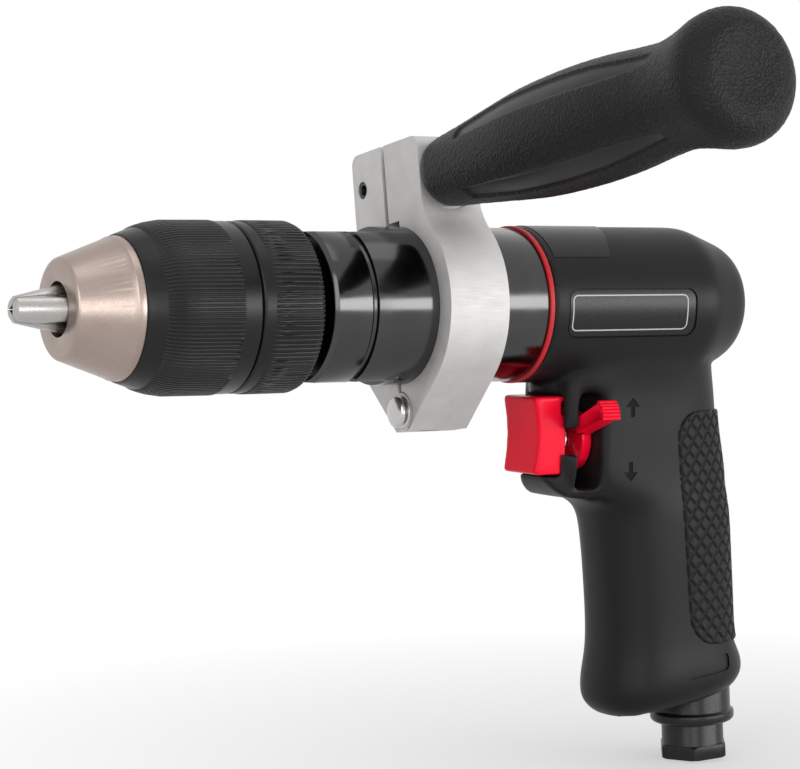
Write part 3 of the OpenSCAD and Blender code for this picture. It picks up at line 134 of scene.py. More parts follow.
class Finish(Graph):
    """A procedural material around one Principled shader."""

    def __init__(self, name):
        self.material = bpy.data.materials.new(name)
        self.material.use_nodes = True
        super().__init__(self.material.node_tree)
        self.shader = self.tree.nodes["Principled BSDF"]
        self.place = self.node("ShaderNodeTexCoord", None, None, "Object")

    def grain(self, size, stretch=(1, 1, 1), detail=2.0):
        """Noise with spots about this many millimetres wide, drawn out along an axis."""
        scale = [1 / (size * MM * s) for s in stretch]
        place = self.node("ShaderNodeVectorMath", {"operation": "MULTIPLY"}, {0: self.place, 1: scale})
        return self.node("ShaderNodeTexNoise", None, {"Vector": place, "Scale": 1.0, "Detail": detail})

    def mix(self, factor, a, b):
        return self.node("ShaderNodeMix", {"data_type": "RGBA"}, {0: factor, 6: (*a, 1), 7: (*b, 1)}, 2)

    def relief(self, height, depth):
        """A normal bent by a height from 0 to 1 that stands for this many millimetres."""
        return self.node("ShaderNodeBump", None, {"Height": height, "Distance": depth * MM, "Strength": 1.0})

    def set(self, **sockets):
        for key, value in sockets.items():
            socket = self.shader.inputs[key.replace("_", " ")]
            if isinstance(value, Wire):
                self.tree.links.new(value.socket, socket)
            else:
                socket.default_value = (*value, 1) if isinstance(value, tuple) and len(value) == 3 else value


def new_piece(name, mesh, finish, body, nodes=(), sharp=SHARP_EDGE):
    """Show a mesh as a piece that rides on a body and stands for CAD nodes."""
    piece = bpy.data.objects.new(name, mesh)
    bpy.context.scene.collection.objects.link(piece)
    if finish:
        mesh.materials.clear()
        mesh.materials.append(finish)
    mesh.shade_smooth()
    mesh.set_sharp_from_angle(angle=math.radians(sharp))
    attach(piece, body)
    if nodes:
        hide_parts(*nodes)
    return piece


def baked(name, mesh, adjust):
    """A copy of a mesh with modifiers applied, which adjust(piece) adds."""
    piece = bpy.data.objects.new(name, mesh)
    bpy.context.scene.collection.objects.link(piece)
    adjust(piece)
    graph = bpy.context.evaluated_depsgraph_get()
    result = bpy.data.meshes.new_from_object(piece.evaluated_get(graph))
    piece.modifiers.clear()
    bpy.data.objects.remove(piece)
    return result


def merged(node):
    """A copy of a CAD node's mesh with its doubled points joined and its flat faces whole."""
    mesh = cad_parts[node].data.copy()
    shape = bmesh.new()
    shape.from_mesh(mesh)
    bmesh.ops.remove_doubles(shape, verts=shape.verts, dist=0.002 * MM)
    bmesh.ops.dissolve_limit(shape, angle_limit=math.radians(0.5), verts=shape.verts, edges=shape.edges)
    shape.to_mesh(mesh)
    shape.free()
    return mesh


def eased(name, node, finish, body, edge, segments=2):
    """A CAD node with its sharp edges rounded by this many millimetres."""
    def round_edges(piece):
        bevel = piece.modifiers.new("edges", "BEVEL")
        bevel.width = edge * MM
        bevel.segments = segments
        bevel.limit_method = "ANGLE"
        bevel.angle_limit = math.radians(SHARP_EDGE)
    return new_piece(name, baked(name, merged(node), round_edges), finish, body, (node,))


nickel = Finish("satin_nickel")
turning = nickel.grain(0.12, (1, 60, 60))
speckle = nickel.grain(0.25)
cloud = nickel.grain(7.0)
nickel.set(Base_Color=nickel.mix(cloud, (0.33, 0.265, 0.235), (0.39, 0.315, 0.28)), Metallic=1.0,
           Roughness=nickel.span(speckle, 0.3, 0.7, 0.25, 0.40),
           Normal=nickel.relief(turning + speckle, 0.010))
eased("chuck_nose", "chuck_body", nickel.material, "spindle", 0.15)

# Jaws: three hardened steel jaws, ground to a point and threaded on their backs. They slide in
# slanted bores of the chuck body as the sleeve turns the nut.
jaw_steel = Finish("ground_steel")
scratches = jaw_steel.grain(0.2, (20, 1, 1))
jaw_steel.set(Base_Color=(0.42, 0.405, 0.39), Metallic=1.0,
              Roughness=jaw_steel.span(scratches, 0.3, 0.7, 0.22, 0.40),
              Normal=jaw_steel.relief(scratches, 0.012))
for k in (1, 2, 3):
    eased(f"jaw_steel_{k}", f"jaw_{k}", jaw_steel.material, f"jaw_{k}", 0.12)

# Chuck sleeves: two moulded black sleeves with a straight knurl. The front one is turned by hand and
# carries the nut; the rear one is pressed onto the chuck body. The ribs follow the round shoulder.
sleeve_black = Finish("sleeve_black")
pebble = sleeve_black.grain(0.22, detail=3.0)
sleeve_black.set(Base_Color=(0.0075, 0.0075, 0.008), Specular_IOR_Level=0.24,
                 Roughness=sleeve_black.span(pebble, 0.3, 0.7, 0.24, 0.40),
                 Normal=sleeve_black.relief(pebble, 0.012))
eased("front_sleeve_skin", "front_sleeve", sleeve_black.material, "chuck_sleeve", 0.25)
eased("rear_sleeve_skin", "rear_sleeve", sleeve_black.material, "spindle", 0.2)


def new_tree(name, *inputs):
    """A geometry tree with a base mesh and named inputs: the graph and its input wires."""
    tree = bpy.data.node_groups.new(name, "GeometryNodeTree")
    sockets = (("Base", "Geometry"), *inputs, ("Finish", "Material"))
    for label, kind in sockets:
        tree.interface.new_socket(label, in_out="INPUT", socket_type="NodeSocket" + kind)
    tree.interface.new_socket("Geometry", in_out="OUTPUT", socket_type="NodeSocketGeometry")
    graph = Graph(tree)
    return graph, {label: graph.node("NodeGroupInput", None, None, label) for label, kind in sockets}


def close_tree(graph, shape, finish):
    """End a geometry tree in real geometry with its material."""
    real = graph.node("GeometryNodeRealizeInstances", None, {"Geometry": shape})
    done = graph.node("GeometryNodeSetMaterial", None, {"Geometry": real, "Material": finish})
    graph.node("NodeGroupOutput", None, {0: done})
    return graph.tree


def grown(name, tree, base, **values):
    """The mesh that a geometry tree makes of a base mesh, with its named inputs set."""
    def add_tree(piece):
        modifier = piece.modifiers.new("tree", "NODES")
        modifier.node_group = tree
        for item in tree.interface.items_tree:
            key = item.name.replace(" ", "_")
            if item.in_out == "INPUT" and key in values:
                modifier[item.identifier] = values[key]
    return baked(name, base, add_tree)


def rib_tree():
    """A round rib along a drawn path, repeated all round the X axis."""
    graph, ask = new_tree("ribs", ("Ribs", "Int"), ("Width", "Float"))
    line = graph.node("GeometryNodeMeshToCurve", None, {"Mesh": ask["Base"]})
    circle = graph.node("GeometryNodeCurvePrimitiveCircle", None, {
        "Resolution": 6, "Radius": ask["Width"] / 2})
    rib = graph.node("GeometryNodeCurveToMesh", None, {
        "Curve": line, "Profile Curve": circle, "Fill Caps": True})
    spots = graph.node("GeometryNodeMeshLine", None, {"Count": ask["Ribs"], "Offset": (0, 0, 0)})
    angle = graph.node("GeometryNodeInputIndex") * (2 * math.pi) / ask["Ribs"]
    turn = graph.node("FunctionNodeEulerToRotation", None, {"Euler": graph.vector(angle, 0, 0)})
    ring = graph.node("GeometryNodeInstanceOnPoints", None, {
        "Points": spots, "Instance": rib, "Rotation": turn})
    return close_tree(graph, ring, ask["Finish"])


def skin_of(mesh):
    """A tree of a mesh's faces that rays can be shot at."""
    shape = bmesh.new()
    shape.from_mesh(mesh)
    tree = BVHTree.FromBMesh(shape)
    shape.free()
    return tree


def polyline(name, points):
    """A mesh of edges from point to point."""
    mesh = bpy.data.meshes.new(name)
    mesh.from_pydata(points, [(i, i + 1) for i in range(len(points) - 1)], [])
    return mesh


ribs = rib_tree()
rib_lift, rib_sink, above = 0.32, 0.9, 0.05
for name, node, body, count, width, front, rear in (
        ("front_knurl", "front_sleeve", "chuck_sleeve", 132, 0.92, 4.4, 5.0),
        ("rear_knurl", "rear_sleeve", "spindle", 110, 1.08, 3.0, 0.7)):
    low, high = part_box(node)
    skin = skin_of(merged(node))
    path = []
    x_start, x_stop = high.x / MM - front, low.x / MM + rear
    for x in (x_start, x_start - 0.5, x_start - 1.5, x_start - 3.5, x_start - 7, x_stop + 1.2, x_stop):
        hit = skin.ray_cast(Vector((x * MM, 0, above)), Vector((0, 0, -1)))[0]
        drop = rib_sink if x == x_start else width / 2 - rib_lift
        path.append((x * MM, 0, hit.z - drop * MM))
    mesh = grown(name, ribs, polyline(name, path), Ribs=count, Width=width * MM,
                 Finish=sleeve_black.material)
    new_piece(name, mesh, None, body, sharp=60)

# Barrel: a turned steel front cap and gear case, polished and blackened, screwed together and into
# the housing. The cap has two wrench flats; a red rubber ring seals the joint to the housing.
barrel_black = Finish("polished_black_steel")
rings = barrel_black.grain(0.15, (1, 80, 80))
smear = barrel_black.grain(9.0)
barrel_black.set(Base_Color=barrel_black.mix(smear, (0.060, 0.060, 0.063), (0.078, 0.077, 0.077)),
                 Metallic=1.0, Roughness=barrel_black.span(smear, 0.3, 0.7, 0.11, 0.19),
                 Normal=barrel_black.relief(rings, 0.0012))
eased("front_cap_steel", "front_cap", barrel_black.material, "housing", 0.2)
eased("gear_case_steel", "gear_case", barrel_black.material, "housing", 0.2)
seal_red = Finish("seal_red")
seal_red.set(Base_Color=(0.46, 0.016, 0.022), Specular_IOR_Level=0.3,
             Roughness=seal_red.span(seal_red.grain(0.6), 0.3, 0.7, 0.38, 0.55))
eased("seal_ring_red", "seal_ring", seal_red.material, "housing", 0.25)

# Side handle clamp: two halves sawn from an aluminium extrusion and brushed, closed round the barrel.
# They turn on a steel hinge pin at the bottom; a roll pin holds the handle stud at the top.
clamp_aluminium = Finish("brushed_aluminium")
brushing = clamp_aluminium.grain(0.14, (40, 1, 1))
stain = clamp_aluminium.grain(5.0, detail=4.0)
tint = clamp_aluminium.mix(stain * 0.6 + brushing * 0.4, (0.47, 0.46, 0.45), (0.66, 0.65, 0.64))
clamp_aluminium.set(Base_Color=tint, Metallic=1.0,
                    Roughness=clamp_aluminium.span(brushing, 0.3, 0.7, 0.64, 0.78),
                    Normal=clamp_aluminium.relief(brushing, 0.016))
bright_steel = Finish("bright_steel")
bright_steel.set(Base_Color=(0.52, 0.51, 0.50), Metallic=1.0,
                 Roughness=bright_steel.span(bright_steel.grain(0.3), 0.3, 0.7, 0.16, 0.30))
dark_steel = Finish("dark_steel")
dark_steel.set(Base_Color=(0.08, 0.08, 0.084), Metallic=1.0,
               Roughness=dark_steel.span(dark_steel.grain(0.4), 0.3, 0.7, 0.30, 0.45))
eased("clamp_far_half", "clamp_far", clamp_aluminium.material, "clamp", 0.6, 3)
eased("clamp_near_half", "clamp_near", clamp_aluminium.material, "clamp_near", 0.6, 3)
eased("hinge_pin_steel", "hinge_pin", bright_steel.material, "clamp", 0.15)


def ringed(name, rows):
    """A closed skin through rings of points; its first and last ring shrink to a point."""
    count = len(rows[0])
    shape = bmesh.new()
    verts = [[shape.verts.new(spot) for spot in row] for row in rows[1:-1]]
    for a, b in zip(verts, verts[1:]):
        for j in range(count):
            k = (j + 1) % count
            shape.faces.new((a[j], a[k], b[k], b[j]))
    for row, end in ((verts[0], rows[0][0]), (verts[-1], rows[-1][0])):
        tip = shape.verts.new(end)
        for j in range(count):
            shape.faces.new((row[j], row[(j + 1) % count], tip))
    bmesh.ops.recalc_face_normals(shape, faces=shape.faces)
    mesh = bpy.data.meshes.new(name)
    shape.to_mesh(mesh)
    shape.free()
    return mesh


low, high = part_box("hinge_pin")
head_in, head_h, head_sink, head_rings, head_sides = 0.25 * MM, 1.5 * MM, 0.3 * MM, 12, 48
head_r = (high.y - low.y) / 2 - head_in
dome = [(-head_sink, 0), (-head_sink, head_r)] + [(head_h * math.sin(a), head_r * math.cos(a))
                                                  for a in np.radians(np.linspace(0, 90, head_rings))]
head = ringed("hinge_pin_head", [
    [(high.x + x, (low.y + high.y) / 2 + r * math.cos(a), (low.z + high.z) / 2 + r * math.sin(a))
     for a in np.linspace(0, 2 * math.pi, head_sides, endpoint=False)] for x, r in dome])
new_piece("hinge_pin_head", head, bright_steel.material, "clamp")
eased("roll_pin_steel", "roll_pin", dark_steel.material, "clamp", 0.2)
eased("stud_steel", "handle_stud", bright_steel.material, "clamp", 0.3)
eased("washer_steel", "handle_washer", dark_steel.material, "handle_washer", 0.1)

# Side handle: moulded black plastic with a coarse leather grain and four smooth leaf-shaped hollows.
# A brass insert in its root screws along the stud; its end knob has a shallow dimple.
handle_plastic = Finish("handle_plastic")
rough_share = handle_plastic.node("ShaderNodeAttribute", {"attribute_name": "grain"}, None, "Fac")
bent = handle_plastic.node("ShaderNodeVectorMath", {"operation": "MULTIPLY_ADD"}, {
    0: handle_plastic.node("ShaderNodeTexNoise", None, {
        "Vector": handle_plastic.place, "Scale": 1 / (1.6 * MM), "Detail": 1.0}, "Color"),
    1: (1.0 * MM, 1.0 * MM, 1.0 * MM), 2: handle_plastic.place})
leather = handle_plastic.node("ShaderNodeTexVoronoi", {"feature": "SMOOTH_F1"}, {
    "Vector": bent, "Scale": 1 / (0.68 * MM), "Smoothness": 0.3})
fine = handle_plastic.grain(0.35, detail=3.0)
handle_plastic.set(Base_Color=(0.0075, 0.0075, 0.008), Specular_IOR_Level=0.17,
                   Roughness=handle_plastic.span(rough_share, 0, 1, 0.36, 0.46),
                   Normal=handle_plastic.relief((leather + fine * 0.4) * rough_share + fine * 0.04, 0.24))


def smooth_step(value):
    """Runs from 0 to 1 with soft ends."""
    value = np.clip(value, 0, 1)
    return value * value * (3 - 2 * value)


def handle_skin():
    """The handle as rings along its axis, with its hollows, bore and dimple."""
    roll = math.radians(8.3)
    root = Vector((-104.05, 11.339, 34.498))
    along = Vector((0, math.cos(roll), math.sin(roll)))
    upward = Vector((0, -math.sin(roll), math.cos(roll)))
    forward = Vector((1, 0, 0))
    length, first_turn, hollow_depth, leaf_from, leaf_half = 122.5, 54, 0.7, 17, 3.2
    leaf_len, leaf_rim, leaf_start, leaf_end, neck_r = 0.69 * length, 0.55, 1.0, 3.0, 8
    dimple_r, dimple_depth, grain_from, grain_rise = 30, 1, 0.5, 2
    bore_len, bore_r, groove_r, groove_from, groove_to, mouth = 30, 6.75, 7.75, 7.9, 12.1, 0.3
    far_out, end_gap, end_round, ring_step, around = 40, 0.15, 0.8, 0.45, 230
    skin = skin_of(merged("side_handle"))
    outs = [upward * math.cos(a) + forward * math.sin(a) for a in np.radians((0, 22, 45, 67))]
    edge = []
    for s in np.linspace(end_gap, length - end_gap, 150):
        middle = (root + along * s) * MM
        hits = [skin.ray_cast(middle + out * far_out * MM, -out)[0] for out in outs]
        edge.append((s, max((hit - middle).length for hit in hits) / MM))
    for r in np.linspace(edge[-1][1] - end_round, 0, 24):
        edge.append((length - max(0, dimple_depth - r * r / 2 / dimple_r), r))
    edge = np.array(edge)
    for _ in range(3):
        edge[1:-1] = (edge[:-2] + 2 * edge[1:-1] + edge[2:]) / 4
    walked = np.concatenate(([0], np.cumsum(np.hypot(*np.diff(edge, axis=0).T))))
    even = np.linspace(0, walked[-1], int(walked[-1] / ring_step))
    places = np.interp(even, walked, edge[:, 0])
    radii = np.interp(even, walked, edge[:, 1])
    bore = [(bore_len, 0), (bore_len, bore_r), (groove_to, bore_r), (groove_to, groove_r),
            (groove_from, groove_r), (groove_from, bore_r), (0, bore_r), (0, radii[0] - mouth)]
    turns = np.linspace(0, 2 * math.pi, around, endpoint=False)
    off = (np.degrees(turns) - first_turn + 45) % 90 - 45
    rows, grain = [], []
    for s, r in [*bore, *zip(places, radii)]:
        inside = np.zeros(around)
        t = (s - leaf_from) / leaf_len
        if 0 < t < 1 and r > neck_r:
            half = leaf_half * np.interp(t, (0, 0.22, 0.5, 0.7, 0.9, 1),
                                         (0.55, 0.9, 1.0, 0.95, 0.6, 0.3))
            inside = smooth_step((half - np.abs(np.radians(off)) * r) / leaf_rim + 0.5)
            inside = inside * smooth_step(t * leaf_len / leaf_start)
            inside = inside * smooth_step((1 - t) * leaf_len / leaf_end)
        reach = r - hollow_depth * inside
        rows.append([(root + along * s + (upward * math.cos(a) + forward * math.sin(a)) * q) * MM
                     for a, q in zip(turns, reach)])
        grain.append((1 - inside) * smooth_step((s - grain_from) / grain_rise) * (s <= length))
    mesh = ringed("handle_grip", rows)
    values = np.concatenate([*grain[1:-1], [0, grain[-1][0]]])
    mesh.attributes.new("grain", "FLOAT", "POINT").data.foreach_set("value", values.astype(np.float32))
    return mesh


def leather_tree():
    """Lifts a skin along its normals by a pattern of small cells, as far as its grain attribute says."""
    graph, ask = new_tree("leather", ("Cell", "Float"), ("Height", "Float"))
    place = graph.node("GeometryNodeInputPosition")
    cells = graph.node("ShaderNodeTexVoronoi", {"feature": "SMOOTH_F1"}, {
        "Vector": place, "Scale": 1 / ask["Cell"], "Smoothness": 0.6})
    share = graph.node("GeometryNodeInputNamedAttribute", {"data_type": "FLOAT"}, {"Name": "grain"})
    offset = graph.node("ShaderNodeVectorMath", {"operation": "SCALE"}, {
        0: graph.node("GeometryNodeInputNormal"), "Scale": (0.5 - cells) * share * ask["Height"]})
    moved = graph.node("GeometryNodeSetPosition", None, {"Geometry": ask["Base"], "Offset": offset})
    return close_tree(graph, moved, ask["Finish"])


grip = grown("handle_grip", leather_tree(), handle_skin(), Cell=1.1 * MM, Height=0.16 * MM,
             Finish=handle_plastic.material)
new_piece("handle_grip", grip, None, "side_handle", ("side_handle",), sharp=60)

# Housing: one moulding in satin black plastic, barrel and pistol grip in one piece, screwed onto the
# gear case. The grip flows into the barrel with wide soft curves; marks are sunk into its left side.
housing_plastic = Finish("housing_plastic")
satin = housing_plastic.grain(0.30, detail=3.0)
wear = housing_plastic.grain(14.0)
housing_plastic.set(Base_Color=(0.0090, 0.0090, 0.0095), Specular_IOR_Level=0.16,
                    Roughness=housing_plastic.span(wear, 0.3, 0.7, 0.36, 0.44),
                    Normal=housing_plastic.relief(satin, 0.016))


def slab(name, outer, inner):
    """A closed solid between two grids of points of the same size."""
    rows, columns = len(outer), len(outer[0])
    shape = bmesh.new()
    top, bottom = ([[shape.verts.new(Vector(spot) * MM) for spot in row] for row in grid]
                   for grid in (outer, inner))
    for i in range(rows - 1):
        for j in range(columns - 1):
            for grid in (top, bottom):
                shape.faces.new((grid[i][j], grid[i][j + 1], grid[i + 1][j + 1], grid[i + 1][j]))
    rim = ([(0, j) for j in range(columns)] + [(i, columns - 1) for i in range(1, rows)]
           + [(rows - 1, j) for j in range(columns - 2, -1, -1)] + [(i, 0) for i in range(rows - 2, 0, -1)])
    for (i, j), (k, m) in zip(rim, rim[1:] + rim[:1]):
        shape.faces.new((top[i][j], top[k][m], bottom[k][m], bottom[i][j]))
    bmesh.ops.recalc_face_normals(shape, faces=shape.faces)
    mesh = bpy.data.meshes.new(name)
    shape.to_mesh(mesh)
    shape.free()
    return mesh


def round_grid(length, height, corner, across, down):
    """Places on a flat plate with round corners, as two grids about its middle."""
    v = np.sin(np.linspace(-math.pi / 2, math.pi / 2, down)) * height / 2
    over = np.maximum(np.abs(v) - (height / 2 - corner), 0)
    half = length / 2 - corner + np.sqrt(corner ** 2 - over ** 2)
    return half[:, None] * np.linspace(-1, 1, across), np.repeat(v[:, None], across, 1)


def on_barrel(u, v, r):
    """A flat grid wrapped onto the left side of the barrel: u along X, v up."""
    return np.stack([u, np.sqrt(r * r - v * v), v], axis=2)


def joined(*meshes):
    """One mesh that holds several."""
    shape = bmesh.new()
    for mesh in meshes:
        shape.from_mesh(mesh)
    result = bpy.data.meshes.new("joined")
    shape.to_mesh(result)
    shape.free()
    return result


house_r, recess_depth = 20.9, 0.5
recess_x, recess_y, recess_z, recess_len, recess_h, recess_corner = -155.7, 15, -2.1, 41.8, 13.0, 3.0


def flowing(mesh, voxel, least, most, hold, reach, filler=None):
    """A mesh, with a filler in a recess, remeshed and smoothed, least near the edges that hold() keeps."""
    crease, step, pull = 35, 0.5, 0.5
    shape = bmesh.new()
    shape.from_mesh(mesh)
    kept = []
    for edge in shape.edges:
        if edge.is_manifold and edge.calc_face_angle() > math.radians(crease):
            a, b = (vert.co for vert in edge.verts)
            steps = max(1, int((b - a).length / (step * MM)))
            for i in range(steps + 1):
                spot = a.lerp(b, i / steps)
                if hold(spot / MM):
                    kept.append(spot)
    shape.free()
    tree = KDTree(len(kept))
    for i, spot in enumerate(kept):
        tree.insert(spot, i)
    tree.balance()

    def remesh(piece):
        modifier = piece.modifiers.new("remesh", "REMESH")
        modifier.mode = "VOXEL"
        modifier.voxel_size = voxel * MM
    result = baked("remesh", joined(mesh, filler) if filler else mesh, remesh)
    count = len(result.vertices)
    spots = np.empty(count * 3)
    result.vertices.foreach_get("co", spots)
    spots = spots.reshape(-1, 3)
    edges = np.empty(len(result.edges) * 2, dtype=int)
    result.edges.foreach_get("vertices", edges)
    edges = edges.reshape(-1, 2)
    near = np.array([tree.find(Vector(spot))[2] for spot in spots]) / MM
    share = np.clip((near - reach[0]) / (reach[1] - reach[0]), 0, 1)
    allowed = least + (most - least) * share
    degree = np.bincount(edges.ravel(), minlength=count)[:, None]
    for i in range(most):
        total = np.zeros_like(spots)
        for axis in range(3):
            total[:, axis] = (np.bincount(edges[:, 0], spots[edges[:, 1], axis], count)
                              + np.bincount(edges[:, 1], spots[edges[:, 0], axis], count))
        spots += pull * (total / degree - spots) * (allowed > i)[:, None]
    result.vertices.foreach_set("co", spots.ravel())
    result.update()
    return result


def crisp_edges(spot):
    """Edges that stay crisp: all except the recess and where the grip runs into the barrel."""
    rim, barrel_r, grip_top, grip_front, pocket_half = 1, 20.2, -4, -139, 9
    in_recess = (abs(spot.x - recess_x) < recess_len / 2 + rim and abs(spot.z - recess_z) < recess_h / 2 + rim
                 and spot.y > recess_y)
    outside = math.hypot(spot.y, spot.z) > barrel_r and spot.z < grip_top and spot.x < grip_front
    return not in_recess and (not outside or abs(spot.y) < pocket_half)


filler_over = 0.6
u, v = round_grid(recess_len + filler_over, recess_h + filler_over, recess_corner, 60, 40)
u, v = u + recess_x, v + recess_z
filler = slab("filler", on_barrel(u, v, house_r), on_barrel(u, v, house_r - 2 * recess_depth))
shell = flowing(merged("housing"), voxel=0.7, least=3, most=24, hold=crisp_edges, reach=(1.0, 4.0),
                filler=filler)
shell_skin = skin_of(shell)


def side_y(x, z):
    """How far out the left side of the housing lies at a place."""
    far_left = 60
    hit = shell_skin.ray_cast(Vector((x, far_left, z)) * MM, Vector((0, -1, 0)))[0]
    return hit.y / MM


def sunk(name, x, z, depth):
    """A cutter for a mark of this depth that follows the left side."""
    over = 1.5
    y = np.array([[side_y(a, b) for a, b in zip(*row)] for row in zip(x, z)])
    return slab(name, np.stack([x, y + over, z], axis=2), np.stack([x, y - depth, z], axis=2))


def arrow(x_mid, z_mid, way):
    """Places on a direction arrow that points up or down: grids of x and z."""
    z = np.array([-2.6, -1.2, 0.15, 0.16, 1.4, 2.6])
    half = np.array([0.65, 0.65, 0.65, 2.3, 1.2, 0.06])
    return x_mid + half[:, None] * np.linspace(-1, 1, 5), z_mid + way * np.repeat(z[:, None], 5, 1)


mark_depth = 0.5
marks = (arrow(-159.9, -27.6, 1), arrow(-159.4, -44.8, -1))
u, v = round_grid(recess_len, recess_h, recess_corner, 60, 40)
u, v = u + recess_x, v + recess_z
recess = slab("recess", on_barrel(u, v, house_r + 2), on_barrel(u, v, house_r - recess_depth))
bar_x, bar_z, bar_len, bar_h, bar_corner, bar_slope = -185.2, -99.3, 15.5, 4.6, 1.4, 0.11
u, v = round_grid(bar_len, bar_h, bar_corner, 24, 14)
bar = sunk("bar", bar_x + u, bar_z + v - bar_slope * u, mark_depth)
trigger_travel, trigger_play = 4.5, 0.15
low, high = (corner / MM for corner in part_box("trigger"))
x, y = np.meshgrid((low.x - trigger_travel - trigger_play, high.x),
                   (low.y - trigger_play, high.y + trigger_play))
trigger_room = slab("trigger_room", *(np.stack([x, y, np.full(x.shape, z)], axis=2)
                                      for z in (high.z + trigger_play, low.z - trigger_play)))


def carve(piece):
    """Cuts the recess, the marks and the room that the trigger needs at full pull."""
    arrows = (sunk("arrow", x, z, mark_depth) for x, z in marks)
    cutter = bpy.data.objects.new("cutter", joined(recess, bar, trigger_room, *arrows))
    bpy.context.scene.collection.objects.link(cutter)
    cut = piece.modifiers.new("marks", "BOOLEAN")
    cut.operation = "DIFFERENCE"
    cut.solver = "MANIFOLD"
    cut.object = cutter


carved = baked("housing_shell", shell, carve)
bpy.data.objects.remove(bpy.data.objects["cutter"])
new_piece("housing_shell", carved, housing_plastic.material, "housing", ("housing",),
          sharp=34)
mark_black = Finish("mark_black")
mark_black.set(Base_Color=(0.002, 0.002, 0.002), Specular_IOR_Level=0.1,
               Roughness=mark_black.span(mark_black.grain(0.3), 0.3, 0.7, 0.5, 0.6))
inlay_top, inlay_bottom = 0.2, 0.7
for way, (x, z) in zip(("up", "down"), marks):
    y = np.array([[side_y(a, b) for a, b in zip(*row)] for row in zip(x, z)])
    inlay = slab("arrow", *(np.stack([x, y - sink, z], axis=2) for sink in (inlay_top, inlay_bottom)))
    new_piece(f"arrow_{way}", inlay, mark_black.material, "housing")

# Plate and foil: a bare black plate with a pale border line, glued into the recess, and a bare
# foil over the top of the barrel. Both are thin and follow the round of the housing.
plate_black = Finish("plate_black")
plate_black.set(Base_Color=(0.009, 0.009, 0.0095), Specular_IOR_Level=0.26,
                Roughness=plate_black.span(plate_black.grain(0.5), 0.3, 0.7, 0.24, 0.34))
floor_r = house_r - recess_depth
plate_t, plate_gap = 0.2, 0.5
u, v = round_grid(recess_len - 2 * plate_gap, recess_h - 2 * plate_gap, recess_corner - plate_gap, 60, 40)
u, v = u + recess_x, v + recess_z
plate = slab("side_plate", on_barrel(u, v, floor_r + plate_t), on_barrel(u, v, floor_r - plate_t))
new_piece("side_plate", plate, plate_black.material, "housing")


def band(name, loops):
    """A closed ring through loops of points, the last joined to the first."""
    shape = bmesh.new()
    verts = [[shape.verts.new(Vector(spot) * MM) for spot in loop] for loop in loops]
    for a, b in zip(verts, verts[1:] + verts[:1]):
        for j in range(len(a)):
            k = (j + 1) % len(a)
            shape.faces.new((a[j], a[k], b[k], b[j]))
    bmesh.ops.recalc_face_normals(shape, faces=shape.faces)
    mesh = bpy.data.meshes.new(name)
    shape.to_mesh(mesh)
    shape.free()
    return mesh


def round_loop(length, height, corner, r):
    """The outline of a plate with round corners, wrapped onto the barrel."""
    loop, corner_steps, side_steps = [], 8, 30
    for k, (sx, sz) in enumerate(((1, 1), (-1, 1), (-1, -1), (1, -1), (1, 1))):
        for a in np.radians(np.linspace(90 * k, 90 * k + 90, corner_steps)):
            spot = np.array([sx * (length / 2 - corner) + corner * math.cos(a),
                             sz * (height / 2 - corner) + corner * math.sin(a)])
            if loop and a == math.radians(90 * k):
                loop += [loop[-1] + (spot - loop[-1]) * i / side_steps for i in range(1, side_steps)]
            loop.append(spot)
    return [(border_x + a, math.sqrt(r * r - (border_z + b) ** 2), border_z + b)
            for a, b in loop[:-corner_steps]]


border_paint = Finish("border_paint")
border_paint.set(Base_Color=(0.45, 0.45, 0.46),
                 Roughness=border_paint.span(border_paint.grain(0.4), 0.3, 0.7, 0.4, 0.5))
border_x, border_z, border_len, border_h, border_corner = -154.9, -2.0, 37.6, 9.5, 1.6
line_w, line_t = 0.34, 0.06
top_r, under_r = floor_r + plate_t + line_t, floor_r + plate_t - line_t
wide = (border_len, border_h, border_corner)
slim = (border_len - 2 * line_w, border_h - 2 * line_w, border_corner - line_w)
loops = [round_loop(*wide, under_r), round_loop(*wide, top_r),
         round_loop(*slim, top_r), round_loop(*slim, under_r)]
new_piece("plate_border", band("plate_border", loops), border_paint.material, "housing")

foil_x, foil_len, foil_point, foil_turn, foil_rise, foil_sink = -132.7, 17.8, 6.5, 53, 0.12, 0.2
phi = np.radians(np.linspace(-foil_turn, foil_turn, 60))[:, None]
along_foil = np.linspace(0, 1, 30)[None, :]
foil_places = foil_x - along_foil * (foil_len + foil_point * (1 - np.abs(phi) / np.radians(foil_turn)))


def wrapped(r):
    """The foil's places on a barrel of this radius."""
    flat = 0 * foil_places
    return np.stack([foil_places, r * np.sin(phi) + flat, r * np.cos(phi) + flat], axis=2)


foil = slab("top_foil", wrapped(house_r + foil_rise), wrapped(house_r - foil_sink))
new_piece("top_foil", foil, plate_black.material, "housing")

# Grip pad: soft black rubber moulded round the back of the grip, with raised diamonds between crossing
# grooves. It wraps from one side round the back to the other, with round corners.
grip_rubber = Finish("grip_rubber")
grip_rubber.set(Base_Color=(0.011, 0.011, 0.0115), Specular_IOR_Level=0.16,
                Roughness=grip_rubber.span(grip_rubber.grain(0.3), 0.3, 0.7, 0.42, 0.56))


